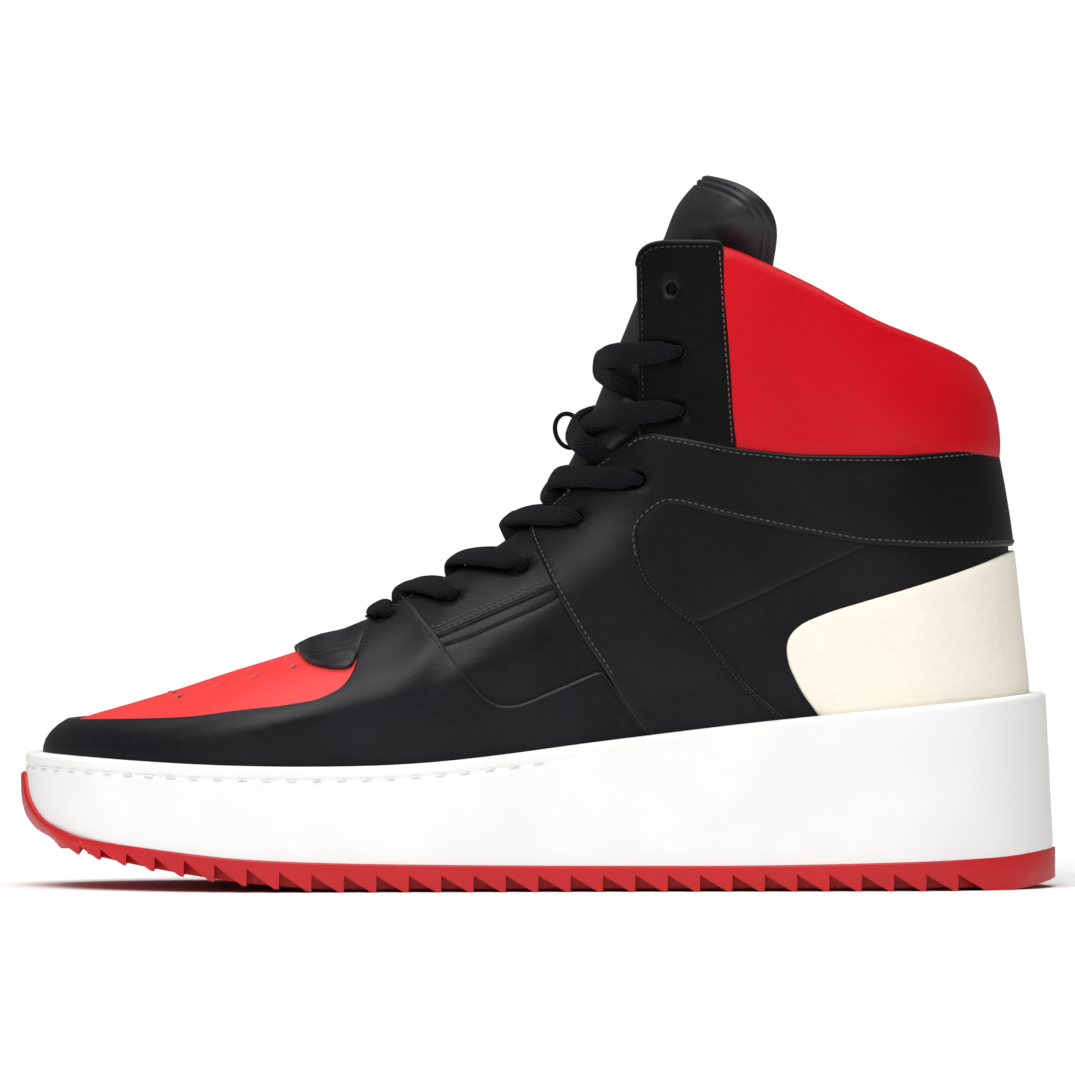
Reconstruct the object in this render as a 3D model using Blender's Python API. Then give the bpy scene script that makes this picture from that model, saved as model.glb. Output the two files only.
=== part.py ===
"""A left basketball high top on a cupsole: sole unit, lasted upper, lace and a hinged tongue.

World axes: the toe points to -X, the outer (lateral) side is -Y and +Z is up.
The origin is on the ground, under the middle of the shoe's length and width.
"""

import math

import bmesh
import bpy
from mathutils import Vector

MM = 0.001

# ---- Driving dimensions, in millimetres ----
SOLE_LENGTH = 311.0
SHOE_HEIGHT = 212.7
FOREFOOT_HALF_WIDTH = 55.0
WAIST_HALF_WIDTH = 45.5
HEEL_HALF_WIDTH = 42.5
TOE_ROUND = 70.0
HEEL_ROUND = 46.0
HEEL_DRAFT = 3.2
SIDE_DRAFT = 2.0
DRAFT_HEIGHT = 60.0
CUP_WALL = 4.2
TOE_WALL = 5.4
UPPER_CLEARANCE = 0.9
CUP_FLOOR = 4.0
GAP = 0.35
BOARD_THICKNESS = 1.6
INSOLE_THICKNESS = 5.0
BOARD_CLEARANCE = 1.8
INSOLE_EDGE_CLEARANCE = 1.5
LEATHER = 1.4
LINING = 1.2
STIFFENER = 1.0
COLLAR_FOAM = 3.6
TONGUE_FOAM = 3.4
TONGUE_LINING = 1.1
LACE_DIAMETER = 2.6
LACE_BELOW = 1.3
EYELET_RADIUS = LACE_DIAMETER / 2 + 0.6 * LEATHER + 0.16
TOOTH_PITCH = 9.65
TOOTH_DEPTH = 4.9
TOOTH_FLAT = 1.4
TOOTH_COUNT = 28
TREAD_REAR = 124.0
PERFORATION_RADIUS = 0.7
SHANK_LENGTH = 100.0
SHANK_WIDTH = 16.0
SHANK_THICKNESS = 1.4

# The curves below are drawn at the sample size. grade() takes the finished solids from it to the size asked for.
SAMPLE_LENGTH = 311.0
SAMPLE_HEIGHT = 212.7
TOE_X = -SAMPLE_LENGTH / 2
HEEL_X = SAMPLE_LENGTH / 2
OVERLAY = LEATHER + GAP
UPPER_INSET = CUP_WALL + UPPER_CLEARANCE + OVERLAY
TOE_INSIDE = TOE_X + TOE_WALL + UPPER_CLEARANCE + OVERLAY
HEEL_INSIDE = HEEL_X - HEEL_DRAFT - UPPER_INSET

# ---- Side-view curves: (x or z, value) knots in millimetres ----
SOLE_HALF = [(-155, FOREFOOT_HALF_WIDTH - 3), (-80, FOREFOOT_HALF_WIDTH), (-40, FOREFOOT_HALF_WIDTH - 4),
             (20, WAIST_HALF_WIDTH), (70, WAIST_HALF_WIDTH - 1.5), (120, HEEL_HALF_WIDTH), (156, HEEL_HALF_WIDTH)]
CENTRE_LINE = [(-156, 6.5), (-100, 1.0), (-60, -0.5), (10, -2.5), (70, -1.5), (120, -0.5), (156, -0.5)]
RIM_HEIGHT = [(-156, 40.6), (-100, 37.9), (-55, 37.6), (-25, 39.4), (20, 45.0), (66, 50.4), (110, 54.6), (156, 58.8)]
OUTSOLE_TOP = [(-143, 16.8), (-137, 15.4), (-117, 12.9), (-87, 9.9), (-42, 8.4), (48, 7.8), (93, 8.3), (138, 9.9),
               (156, 12.0)]
BUMPER_BACK = [(-153.4, 34.2), (-153.0, 30.0), (-151.9, 25.4), (-149.2, 20.6), (-143, 16.8)]
LAST_BOTTOM = [(-156, 28.0), (-120, 26.0), (-70, 26.0), (-20, 29.5), (30, 35.0), (90, 40.5), (156, 42.5)]
RIDGE = [(20, TOE_INSIDE), (41, TOE_INSIDE), (44.5, TOE_INSIDE + 1.2), (48.0, -142.4), (50.7, -136.6),
         (53.4, -128.0), (57.6, -115.0), (62.0, -100.0), (66.4, -86.0), (71.4, -71.0), (76.6, -58.6),
         (82.5, -46.8), (89.0, -34.8), (96.0, -23.0), (103.5, -11.6), (113.0, -1.0), (126.0, 8.0), (140.0, 14.8),
         (152.0, 18.0), (164.0, 19.0), (216.0, 19.0)]
TONGUE_RIDGE = RIDGE[:16] + [(126.0, 7.4), (140.0, 13.5), (152.0, 18.6), (164.0, 23.4), (176.0, 28.2),
                             (188.0, 33.0), (197.0, 37.6), (207.0, 43.4), (216.0, 50.0)]
HEEL_LINE = [(20, HEEL_INSIDE), (50, HEEL_INSIDE), (59, HEEL_INSIDE), (80, 143.6), (101, 141.4), (118, 139.0),
             (134, 136.0), (146, 133.6), (155, 130.6), (165, 126.0), (216, 110.0)]
FRONT_ROUND = [(20, TOE_ROUND - 4), (45, TOE_ROUND - 6), (60, 74.0), (80, 58.0), (104, 47.0), (126, 42.0),
               (150, 39.0), (216, 38.0)]
REAR_ROUND = [(20, HEEL_ROUND - UPPER_INSET), (60, HEEL_ROUND - UPPER_INSET), (110, 36.0), (150, 38.0), (216, 40.0)]
ANKLE_HALF = 33.5
ANKLE_START, ANKLE_FULL = 48.0, 128.0
THROAT_HALF = 11.5
THROAT_SPREAD = 0.075
THROAT_Z = 76.0

# Eyelet centres in the side view, from the toe up.
EYELETS = [(-44.3, 80.6), (-25.0, 86.6), (-4.4, 96.3), (12.0, 110.1), (30.2, 122.4), (42.2, 143.4), (41.9, 161.1),
           (40.0, 179.7)]
LACED = 7
TONGUE_TOP, TONGUE_SIDE_TOP = 214.6, 184.0

LEVELS = [20, 34, 42, 47, 52, 59, 68, 79, 92, 106, 120, 134, 149, 166, 184, 200]
AROUND = 28

BLACK = (0.016, 0.016, 0.019)
RED = (0.75, 0.012, 0.018)
WHITE = (0.9, 0.9, 0.88)
CREAM = (0.87, 0.8, 0.68)


def smooth_step(t):
    t = min(max(t, 0.0), 1.0)
    return t * t * (3 - 2 * t)


def through(knots, at):
    """The value at `at` of a smooth curve through the knots, flat past both ends."""
    if at <= knots[0][0]:
        return knots[0][1]
    if at >= knots[-1][0]:
        return knots[-1][1]
    i = next(k for k in range(len(knots) - 1) if at <= knots[k + 1][0])
    (x0, y0), (x1, y1) = knots[i], knots[i + 1]

    def slope(k):
        if k == 0 or k == len(knots) - 1:
            a, b = (k, k + 1) if k == 0 else (k - 1, k)
        else:
            a, b = k - 1, k + 1
        return (knots[b][1] - knots[a][1]) / (knots[b][0] - knots[a][0])

    span = x1 - x0
    t = (at - x0) / span
    m0, m1 = slope(i) * span, slope(i + 1) * span
    return ((2 * t**3 - 3 * t**2 + 1) * y0 + (t**3 - 2 * t**2 + t) * m0
            + (3 * t**2 - 2 * t**3) * y1 + (t**3 - t**2) * m1)


def rounded(distance, radius):
    """Height of a quarter ellipse, 0 at its end and 1 from `radius` on."""
    u = min(max(distance / radius, 0.0), 1.0)
    return math.sqrt(max(0.0, 1 - (1 - u) ** 2))


# ---- The lasted surface: horizontal rings from the ridge (s = 0) round to the heel (s = 1 lateral, -1 medial) ----
def half_width(x, z, front, rear):
    base = through(SOLE_HALF, x) - UPPER_INSET - SIDE_DRAFT * min(z, DRAFT_HEIGHT) / DRAFT_HEIGHT
    blend = smooth_step((z - ANKLE_START) / (ANKLE_FULL - ANKLE_START))
    width = base + (ANKLE_HALF - base) * blend
    return width * rounded(x - front, through(FRONT_ROUND, z)) * rounded(rear - x, through(REAR_ROUND, z))


def ring(s, z, ridge=RIDGE):
    front, rear = through(ridge, z), through(HEEL_LINE, z)
    x = front + (rear - front) * (1 - math.cos(math.pi * abs(s))) / 2
    side = -1 if s >= 0 else 1
    return Vector((x, through(CENTRE_LINE, x) + side * half_width(x, z, front, rear), z))


def skin(s, z, offset, ridge=RIDGE):
    """A point `offset` outside the lasted surface."""
    ds, dz = 0.004, 0.4
    around = ring(s + ds, z, ridge) - ring(s - ds, z, ridge)
    if abs(s) > 1 - ds:
        around = Vector((0, 1, 0))
    up = ring(s, z + dz, ridge) - ring(s, z - dz, ridge)
    return ring(s, z, ridge) + offset * up.cross(around).normalized() * -1


def s_at_x(x, z, side, ridge=RIDGE):
    front, rear = through(ridge, z), through(HEEL_LINE, z)
    share = min(max((x - front) / (rear - front), 0.0), 1.0)
    return side * math.acos(1 - 2 * share) / math.pi


def s_at_arc(arc, z, ridge=RIDGE):
    """The ring fraction that lies this far round from the ridge."""
    step, s, walked, last = 0.01, 0.0, 0.0, ring(0, z, ridge)
    while walked < arc and s < 1:
        s += step
        here = ring(s, z, ridge)
        walked += (here - last).length
        last = here
    return s


def arc_of(s, z, steps=40):
    """Distance round the ring at height z from the ridge to s."""
    points = [ring(s * k / steps, z) for k in range(steps + 1)]
    return sum((b - a).length for a, b in zip(points, points[1:]))


def throat_half(z):
    return THROAT_HALF + THROAT_SPREAD * (z - THROAT_Z)


def throat_arc(z):
    """Distance round the ring at height z from the ridge to the edge of the throat."""
    s = next(k / 400 for k in range(400) if -ring(k / 400, z).y > throat_half(z))
    if z > THROAT_EDGE[-1][1]:
        x = THROAT_EDGE[0][0] if z > THROAT_EDGE[0][1] else read_off(THROAT_EDGE, z)
        s = max(s, s_at_x(x, z, 1))
    return arc_of(s, z)


def read_off(outline, z):
    """The x of a falling outline at height z."""
    for (x0, z0), (x1, z1) in zip(outline, outline[1:]):
        if z1 <= z <= z0:
            return x1 + (x0 - x1) * (z - z1) / (z0 - z1)
    return outline[-1][0]


# ---- Scene, materials and mesh helpers ----
def clear_scene():
    for obj in list(bpy.data.objects):
        bpy.data.objects.remove(obj)


def material(name, colour, roughness, metallic=0.0):
    made = bpy.data.materials.new(name)
    made.use_nodes = True
    shader = made.node_tree.nodes["Principled BSDF"]
    shader.inputs["Base Color"].default_value = (*colour, 1)
    shader.inputs["Roughness"].default_value = roughness
    shader.inputs["Metallic"].default_value = metallic
    return made


def new_object(name, points, faces, look=None):
    mesh = bpy.data.meshes.new(name)
    mesh.from_pydata([Vector(p) * MM for p in points], [], faces)
    bm = bmesh.new()
    bm.from_mesh(mesh)
    bmesh.ops.recalc_face_normals(bm, faces=bm.faces)
    bm.to_mesh(mesh)
    bm.free()
    obj = bpy.data.objects.new(name, mesh)
    bpy.context.scene.collection.objects.link(obj)
    if look is None:
        obj.hide_render = True
        obj.display_type = "WIRE"
    else:
        mesh.materials.append(look)
        mesh.shade_smooth()
        mesh.set_sharp_from_angle(angle=math.radians(35))
    return obj


def boolean(obj, cutter, operation):
    modifier = obj.modifiers.new(f"{operation.lower()} {cutter.name}", "BOOLEAN")
    modifier.operation = operation
    modifier.object = cutter
    modifier.solver = "EXACT"


def prism(name, outline, near, far, look=None):
    """The side-view outline carried across from y = near(z) to y = far(z)."""
    n = len(outline)
    points = [(x, near(z), z) for x, z in outline] + [(x, far(z), z) for x, z in outline]
    faces = [tuple(range(n)), tuple(range(2 * n - 1, n - 1, -1))]
    faces += [(i, i + n, (i + 1) % n + n, (i + 1) % n) for i in range(n)]
    return new_object(name, points, faces, look)


def rod(name, start, end, radius, sides=8):
    """A cutter along a straight line."""
    axis = (end - start).normalized()
    across = axis.orthogonal().normalized()
    other = axis.cross(across)
    points = [tip + radius * (math.cos(a) * across + math.sin(a) * other)
              for tip in (start, end) for a in (2 * math.pi * k / sides for k in range(sides))]
    faces = [tuple(range(sides)), tuple(range(2 * sides - 1, sides - 1, -1))]
    faces += [(i, i + sides, (i + 1) % sides + sides, (i + 1) % sides) for i in range(sides)]
    return new_object(name, points, faces)


def split(a, b, c, d):
    """A quad as two triangles. Layers that lie over each other are all cut along the same diagonal."""
    return [(a, b, c), (a, c, d)]


def grid_faces(rows, columns, start=0):
    corners = [start + r * columns + c for r in range(rows - 1) for c in range(columns - 1)]
    return [face for a in corners for face in split(a, a + 1, a + columns + 1, a + columns)]


def sheet(name, point, rows, columns, look):
    """A closed sheet from point(row share, column share, outer side?)."""
    points = [point(r / (rows - 1), c / (columns - 1), outer)
              for outer in (True, False) for r in range(rows) for c in range(columns)]
    size = rows * columns
    faces = grid_faces(rows, columns) + grid_faces(rows, columns, size)
    border = [c for c in range(columns)] + [r * columns + columns - 1 for r in range(1, rows)]
    border += [(rows - 1) * columns + c for c in range(columns - 2, -1, -1)]
    border += [r * columns for r in range(rows - 2, 0, -1)]
    for a, b in zip(border, border[1:] + border[:1]):
        faces.append((a, a + size, b + size, b))
    return new_object(name, points, faces, look)


def shell(name, low, high, inner, outer, look):
    """A ring-shaped shell of the lasted surface between two offsets. All shells share the same rings and columns."""
    first = max(k for k, z in enumerate(LEVELS) if z <= low)
    last = min(k for k, z in enumerate(LEVELS) if z >= high)
    heights, around = LEVELS[first:last + 1], AROUND
    rows = len(heights)
    shares = [-1 + 2 * c / around for c in range(around)]
    points = [skin(s, z, offset) for offset in (outer, inner) for z in heights for s in shares]
    size = rows * around
    faces = []
    for layer in (0, size):
        for r in range(rows - 1):
            for c in range(around):
                a, b = layer + r * around + c, layer + r * around + (c + 1) % around
                faces += split(a, b, b + around, a + around)
    for r in (0, rows - 1):
        for c in range(around):
            a, b = r * around + c, r * around + (c + 1) % around
            faces.append((a, b, b + size, a + size))
    return new_object(name, points, faces, look)


# ---- Panel outlines in the side view, (x, z) in millimetres ----
MUDGUARD_TOP = [(-137.6, 49.2), (-125.6, 49.8), (-101.6, 51.3), (-77.6, 54.3), (-65.6, 56.6), (-58.4, 60.0),
                (-54.8, 65.0), (-52.8, 72.5), (-51.0, 78.0), (-49.5, 100.0)]
MUDGUARD_REAR = [(-40.0, 100.0), (-39.4, 87.0), (-34.2, 80.4), (-29.6, 75.0), (-23.0, 65.4), (-17.6, 58.6),
                 (-12.0, 55.2), (-5.5, 55.6), (18.6, 66.0)]
SADDLE_FRONT = [(0.5, 111.2), (-1.7, 108.8), (-1.9, 105.6), (0.0, 100.5), (4.8, 90.0), (12.8, 76.3), (19.3, 66.7),
                (24.9, 57.2), (32.0, 46.5), (39.0, 37.0)]
SADDLE_REAR = [(88.0, 38.0), (75.5, 49.8), (62.0, 61.5), (55.0, 69.9), (48.3, 79.8), (38.0, 87.3), (32.2, 94.0),
               (30.2, 101.0), (29.8, 107.2)]
STRAP_BOTTOM = [(33.5, 112.0), (38.0, 115.4), (43.0, 115.0), (54.5, 112.0), (75.5, 107.4), (96.5, 103.6),
                (120.5, 102.3), (160.0, 102.3)]
STRAP_TOP = [(160.0, 132.5), (138.5, 132.2), (108.5, 130.0), (78.5, 130.2), (59.0, 132.3), (45.5, 134.9),
             (35.0, 136.8)]
THROAT_EDGE = [(30.2, 135.8), (21.8, 129.4), (13.7, 123.0), (7.6, 116.4)]
COLLAR_TOP = [(55.0, 192.2), (66.5, 187.8), (84.5, 179.4), (102.5, 170.4), (120.5, 162.6), (127.6, 158.8),
              (130.6, 155.2), (160.0, 151.0)]
COLLAR_BOTTOM = 126.0
FACING_BACK = [(-52.0, 67.0), (-44.0, 68.0), (-20.0, 76.0), (3.0, 86.0), (20.0, 100.0), (40.0, 113.0), (53.0, 128.0),
               (54.4, 136.0), (54.4, 189.0)]
COUNTER_EDGE = [(160.0, 101.0), (141.5, 101.0), (134.0, 97.8), (123.5, 94.2), (108.5, 89.6), (87.5, 83.4),
                (79.0, 80.0), (75.0, 76.6), (73.8, 72.8), (74.8, 67.0), (78.5, 59.4), (84.5, 51.0), (92.0, 41.5)]
FIN = [(30.7, 107.0), (34.1, 111.3), (38.2, 114.8), (42.9, 114.4), (54.3, 111.4), (75.3, 106.8), (94.0, 103.5),
       (96.0, 101.6), (49.2, 80.6), (38.6, 88.0), (33.0, 94.4), (31.0, 101.2)]
TAB = [(-73.5, 90.0), (-72.0, 71.6), (-70.7, 69.2), (-68.0, 67.2), (-61.5, 65.8), (-55.4, 66.0), (-53.4, 72.7),
       (-51.6, 78.2), (-50.6, 90.0)]
VAMP_BACK = [(-58.2, 100.0), (-58.2, 74.0), (-52.4, 66.4), (-48.0, 60.0), (-46.0, 20.0)]


THROAT_ARC = [(z, throat_arc(z)) for z in range(72, 200, 4)]


def shifted(points, dx, dz):
    return [(x + dx, z + dz) for x, z in points]


def last_bottom_between(x0, x1, clearance=GAP, count=9):
    """Points along the bottom of the last, for the edge of the upper inside the cup."""
    stations = (x0 + (x1 - x0) * k / (count - 1) for k in range(count))
    return [(x, through(LAST_BOTTOM, x) + clearance) for x in stations]


def throat_cutter(extra=0.0):
    outline = [(-59.0, 60), (70, 60), (70, 230), (-59.0, 230)]
    return prism("cut_throat", outline, lambda z: -throat_half(z) - extra, lambda z: throat_half(z) + extra)


def panel(name, look, low, high, outline, offsets, side=0, cutters=()):
    """A leather piece: the shell between two offsets, kept inside its side-view outline on one side or both."""
    obj = shell(name, low, high, offsets[0], offsets[1], look)
    near, far = (-0.2, -90) if side < 0 else (0.2, 90) if side > 0 else (-90, 90)
    boolean(obj, prism(f"outline_{name}", outline, lambda z: near, lambda z: far), "INTERSECT")
    for cutter in cutters:
        boolean(obj, cutter, "DIFFERENCE")
    return obj


def eyelet_cutter(name, numbers, side):
    """Rods through the eyelets of one side, square to the leather."""
    rods = []
    for n in numbers:
        x, z = EYELETS[n]
        s = s_at_x(x, z, side)
        rods.append(rod(f"{name}_{n}", skin(s, z, -6.0), skin(s, z, 6.0), EYELET_RADIUS))
    mesh = bpy.data.meshes.new(name)
    bm = bmesh.new()
    for one in rods:
        bm.from_mesh(one.data)
        bpy.data.objects.remove(one)
    bm.to_mesh(mesh)
    bm.free()
    obj = bpy.data.objects.new(name, mesh)
    bpy.context.scene.collection.objects.link(obj)
    obj.hide_render = True
    obj.display_type = "WIRE"
    return obj


# ---- Sole unit ----
def sole_outline(inset, z, count=40):
    """The sole's plan outline at height z, drawn in by `inset`."""
    draft = min(max(z, 0.0), DRAFT_HEIGHT) / DRAFT_HEIGHT
    front = TOE_X + inset + (TOE_WALL - CUP_WALL if inset else 0.0)
    rear = HEEL_X - HEEL_DRAFT * draft - inset
    points = []
    for k in range(count):
        s = -1 + 2 * k / count
        x = front + (rear - front) * (1 - math.cos(math.pi * s)) / 2
        half = through(SOLE_HALF, x) - inset - SIDE_DRAFT * draft
        half *= rounded(x - front, TOE_ROUND - inset) * rounded(rear - x, HEEL_ROUND - inset)
        points.append((x, through(CENTRE_LINE, x) + (half if s < 0 else -half), z))
    return points


def plan_block(name, inset, low, high, look=None, levels=2, count=40):
    loops = [sole_outline(inset, low + (high - low) * k / (levels - 1), count) for k in range(levels)]
    points = [p for loop in loops for p in loop]
    faces = [tuple(range(count)), tuple(range(levels * count - 1, (levels - 1) * count - 1, -1))]
    for level in range(levels - 1):
        for k in range(count):
            a, b = level * count + k, level * count + (k + 1) % count
            faces.append((a, b, b + count, a + count))
    return new_object(name, points, faces, look)


def side_curve(knots, x0, x1, count, lift=0.0):
    return [(x, through(knots, x) + lift) for x in (x0 + (x1 - x0) * k / (count - 1) for k in range(count))]


def tread_height(x):
    """Height of the tooth tips: flat under the foot, sprung up at the toe and eased at the heel."""
    toe = 10.4 * max(0.0, (-59 - x) / 78) ** 1.6
    heel = 3.2 * max(0.0, (x - 138) / 18) ** 2
    return toe + heel


def tread_profile():
    """Sawtooth from the heel block forward to the toe: each tooth has a sloped front and a square back."""
    points = [(x, tread_height(x)) for x in (160.0, 152.0, 145.0, 138.0)]
    rear = TREAD_REAR + TOOTH_PITCH
    for k in range(TOOTH_COUNT):
        x = rear - k * TOOTH_PITCH
        shrink = 1.0 if x > -95 else max(0.45, 1 - (-95 - x) / 75)
        points.append((x, tread_height(x)))
        top = x - TOOTH_PITCH + TOOTH_FLAT
        points.append((top, tread_height(top) + TOOTH_DEPTH * shrink))
        points.append((top - 0.05, tread_height(top)))
    return points


def build_outsole(look):
    top = side_curve(OUTSOLE_TOP, 160.0, -143.0, 30)
    back = list(reversed(BUMPER_BACK))
    front = [(-160.0, 34.2), (-160.0, 14.5), (-148.5, 12.6)]
    outline = tread_profile() + list(reversed(top + back[1:] + front))
    obj = plan_block("outsole", 0.0, -2.0, 40.0, look, 3)
    boolean(obj, prism("outline_outsole", outline, lambda z: -90, lambda z: 90), "INTERSECT")
    return obj


def build_cupsole(look):
    rim = side_curve(RIM_HEIGHT, -160.0, 160.0, 18)
    bottom = side_curve(OUTSOLE_TOP, 160.0, -143.0, 24, GAP)
    back = [(x + GAP, z + GAP) for x, z in reversed(BUMPER_BACK)]
    obj = plan_block("cupsole", 0.0, 5.0, 64.0, look)
    front = [(-160.0, BUMPER_BACK[0][1] + GAP)]
    boolean(obj, prism("outline_cupsole", rim + bottom + back[1:] + front, lambda z: -90, lambda z: 90), "INTERSECT")
    well = plan_block("well_block", CUP_WALL, 0.0, 70.0)
    well_outline = [(160.0, 80.0), (-160.0, 80.0)] + [(x, cup_floor(x)) for x in stations()]
    boolean(well, prism("well_outline", well_outline, lambda z: -90, lambda z: 90), "INTERSECT")
    boolean(obj, well, "DIFFERENCE")
    return obj


def stations(count=17):
    """Where the side-view curves inside the cup are read off, the same for every layer."""
    return [-160.0 + 320.0 * k / (count - 1) for k in range(count)]


def build_inside_block(name, look, inset, low_curve, high_curve):
    """A layer inside the cup: its plan outline between two side-view curves."""
    outline = [(x, high_curve(x)) for x in stations()]
    outline += [(x, low_curve(x)) for x in reversed(stations()) if low_curve(x) < high_curve(x) - 0.05]
    obj = plan_block(name, inset, 0.0, 70.0, look)
    boolean(obj, prism(f"outline_{name}", outline, lambda z: -90, lambda z: 90), "INTERSECT")
    return obj


def last_bottom(x):
    return through(LAST_BOTTOM, x)


def cup_floor(x):
    """The floor of the cup, raised over the bumper at the toe."""
    rise = max(0.0, -138.0 - x)
    return min(through(OUTSOLE_TOP, x) + CUP_FLOOR + rise, last_bottom(x) - 1.0)


def shank_outline(grow):
    """Plan of the shank as a rounded bar along the arch."""
    half, middle, centre_y = SHANK_LENGTH / 2 + grow, 45.0, -1.5
    w = SHANK_WIDTH / 2 + grow
    points = []
    for k in range(16):
        a = 2 * math.pi * k / 16
        across, along = math.cos(a) * w, math.sin(a) * w
        points.append((middle + math.copysign(half - w, along) + along, centre_y + across))
    return points


def shank_block(name, grow, low, high, look=None):
    plan = shank_outline(grow)
    n = len(plan)
    points = [(x, y, last_bottom(x) + low) for x, y in plan] + [(x, y, last_bottom(x) + high) for x, y in plan]
    faces = [tuple(range(n)), tuple(range(2 * n - 1, n - 1, -1))]
    faces += [(i, i + n, (i + 1) % n + n, (i + 1) % n) for i in range(n)]
    return new_object(name, points, faces, look)


def build_sole_unit(looks):
    build_outsole(looks["red_rubber"])
    build_cupsole(looks["white_rubber"])
    wedge = build_inside_block("midsole_wedge", looks["eva"], CUP_WALL + GAP, lambda x: cup_floor(x) + GAP,
                               last_bottom)
    depth = SHANK_THICKNESS + GAP
    boolean(wedge, shank_block("shank_pocket", GAP, -depth - GAP, 4.0), "DIFFERENCE")
    shank_block("shank", 0.0, -depth, -GAP, looks["steel"])
    board_inset = UPPER_INSET + LEATHER + STIFFENER + LINING + 3 * GAP + BOARD_CLEARANCE
    build_inside_block("lasting_board", looks["board"], board_inset, lambda x: last_bottom(x) + GAP,
                       lambda x: last_bottom(x) + GAP + BOARD_THICKNESS)
    insole_low = 2 * GAP + BOARD_THICKNESS
    build_inside_block("insole", looks["insole"], board_inset + INSOLE_EDGE_CLEARANCE,
                       lambda x: last_bottom(x) + insole_low,
                       lambda x: last_bottom(x) + insole_low + INSOLE_THICKNESS)


# ---- Upper ----
BASE = (-LEATHER, 0.0)
OVER = (GAP, GAP + LEATHER)
STIFF = (-(LEATHER + GAP + STIFFENER), -(LEATHER + GAP))
LINE = (STIFF[0] - GAP - LINING, STIFF[0] - GAP)
FOAM = (-(LEATHER + GAP + COLLAR_FOAM), -(LEATHER + GAP))
COLLAR_LINE = (FOAM[0] - GAP - LINING, FOAM[0] - GAP)
BOTTOM_REACH = 24.0


def build_base_layer(looks):
    vamp = [(-165.0, 100.0)] + VAMP_BACK[:4] + list(reversed(last_bottom_between(-165.0, -47.0)))
    obj = panel("vamp", looks["red_leather"], BOTTOM_REACH, 80, vamp, BASE, cutters=[perforation_cutter()])
    for side, word in ((1, "lateral"), (-1, "medial")):
        y_side = -side
        facing_low = shifted(FACING_BACK, 0, -GAP * 1.5)
        window = [(-51.6, 66.0), (-47.6, 59.9)] + last_bottom_between(-46.5, 18.5) + [(12.6, 76.0), (7.5, 89.0)]
        window += [facing_low[3], facing_low[2], facing_low[1]]
        panel(f"side_panel_{word}", looks["black_leather"], BOTTOM_REACH, 100, window, BASE, y_side)
        rear = [(8.0, 89.3), (13.1, 76.1)] + last_bottom_between(19.0, 165.0)
        rear += [(165.0, COLLAR_BOTTOM - GAP), (53.6, COLLAR_BOTTOM - GAP), facing_low[5], facing_low[4]]
        panel(f"rear_quarter_{word}", looks["black_leather"], 32, 127, rear, BASE, y_side)
        throat_side = [(29.8, 189.0), (29.8, 136.2)] + THROAT_EDGE + [(0.8, 110.8), (-4.0, 112.0), (-52.0, 112.0)]
        panel(f"eyelet_facing_{word}", looks["lining"], 62, 191, FACING_BACK + throat_side, BASE, y_side,
              cutters=[throat_cutter(), eyelet_cutter(f"facing_holes_{word}", range(8), side)])
    collar = COLLAR_TOP + [(165.0, COLLAR_BOTTOM), (54.4 + GAP, COLLAR_BOTTOM), (54.4 + GAP, 180.0)]
    panel("collar", looks["red_leather"], 122, 196, collar, BASE)


def perforation_cutter():
    """Small round vents in fanned rows over the toe box."""
    mesh = bpy.data.meshes.new("cut_perforations")
    bm = bmesh.new()
    for row in range(5):
        for column in range(4):
            spread = row - 2
            x = -111.0 + 11.5 * column + 1.6 * abs(spread)
            arc = abs(spread) * (7.0 + 0.9 * column)
            z = next(z / 4 for z in range(168, 340) if through(RIDGE, z / 4) >= x)
            s = 0.0
            if spread:
                s, z = arch_point(x, arc, z)
            at = math.copysign(s, spread)
            one = rod("one", skin(at, z, -3.0), skin(at, z, 2.0), PERFORATION_RADIUS, 5)
            bm.from_mesh(one.data)
            bpy.data.objects.remove(one)
    bm.to_mesh(mesh)
    bm.free()
    obj = bpy.data.objects.new("cut_perforations", mesh)
    bpy.context.scene.collection.objects.link(obj)
    obj.hide_render = True
    obj.display_type = "WIRE"
    return obj


def arch_point(x, arc, ridge_z):
    """(s, z) of the point this far down the arch from the ridge, at station x."""
    z, walked, last = ridge_z, 0.0, ring(0, ridge_z)
    while walked < arc:
        z -= 0.1
        here = ring(s_at_x(x, z, 1), z)
        walked += (here - last).length
        last = here
    return s_at_x(x, z, 1), z


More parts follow.
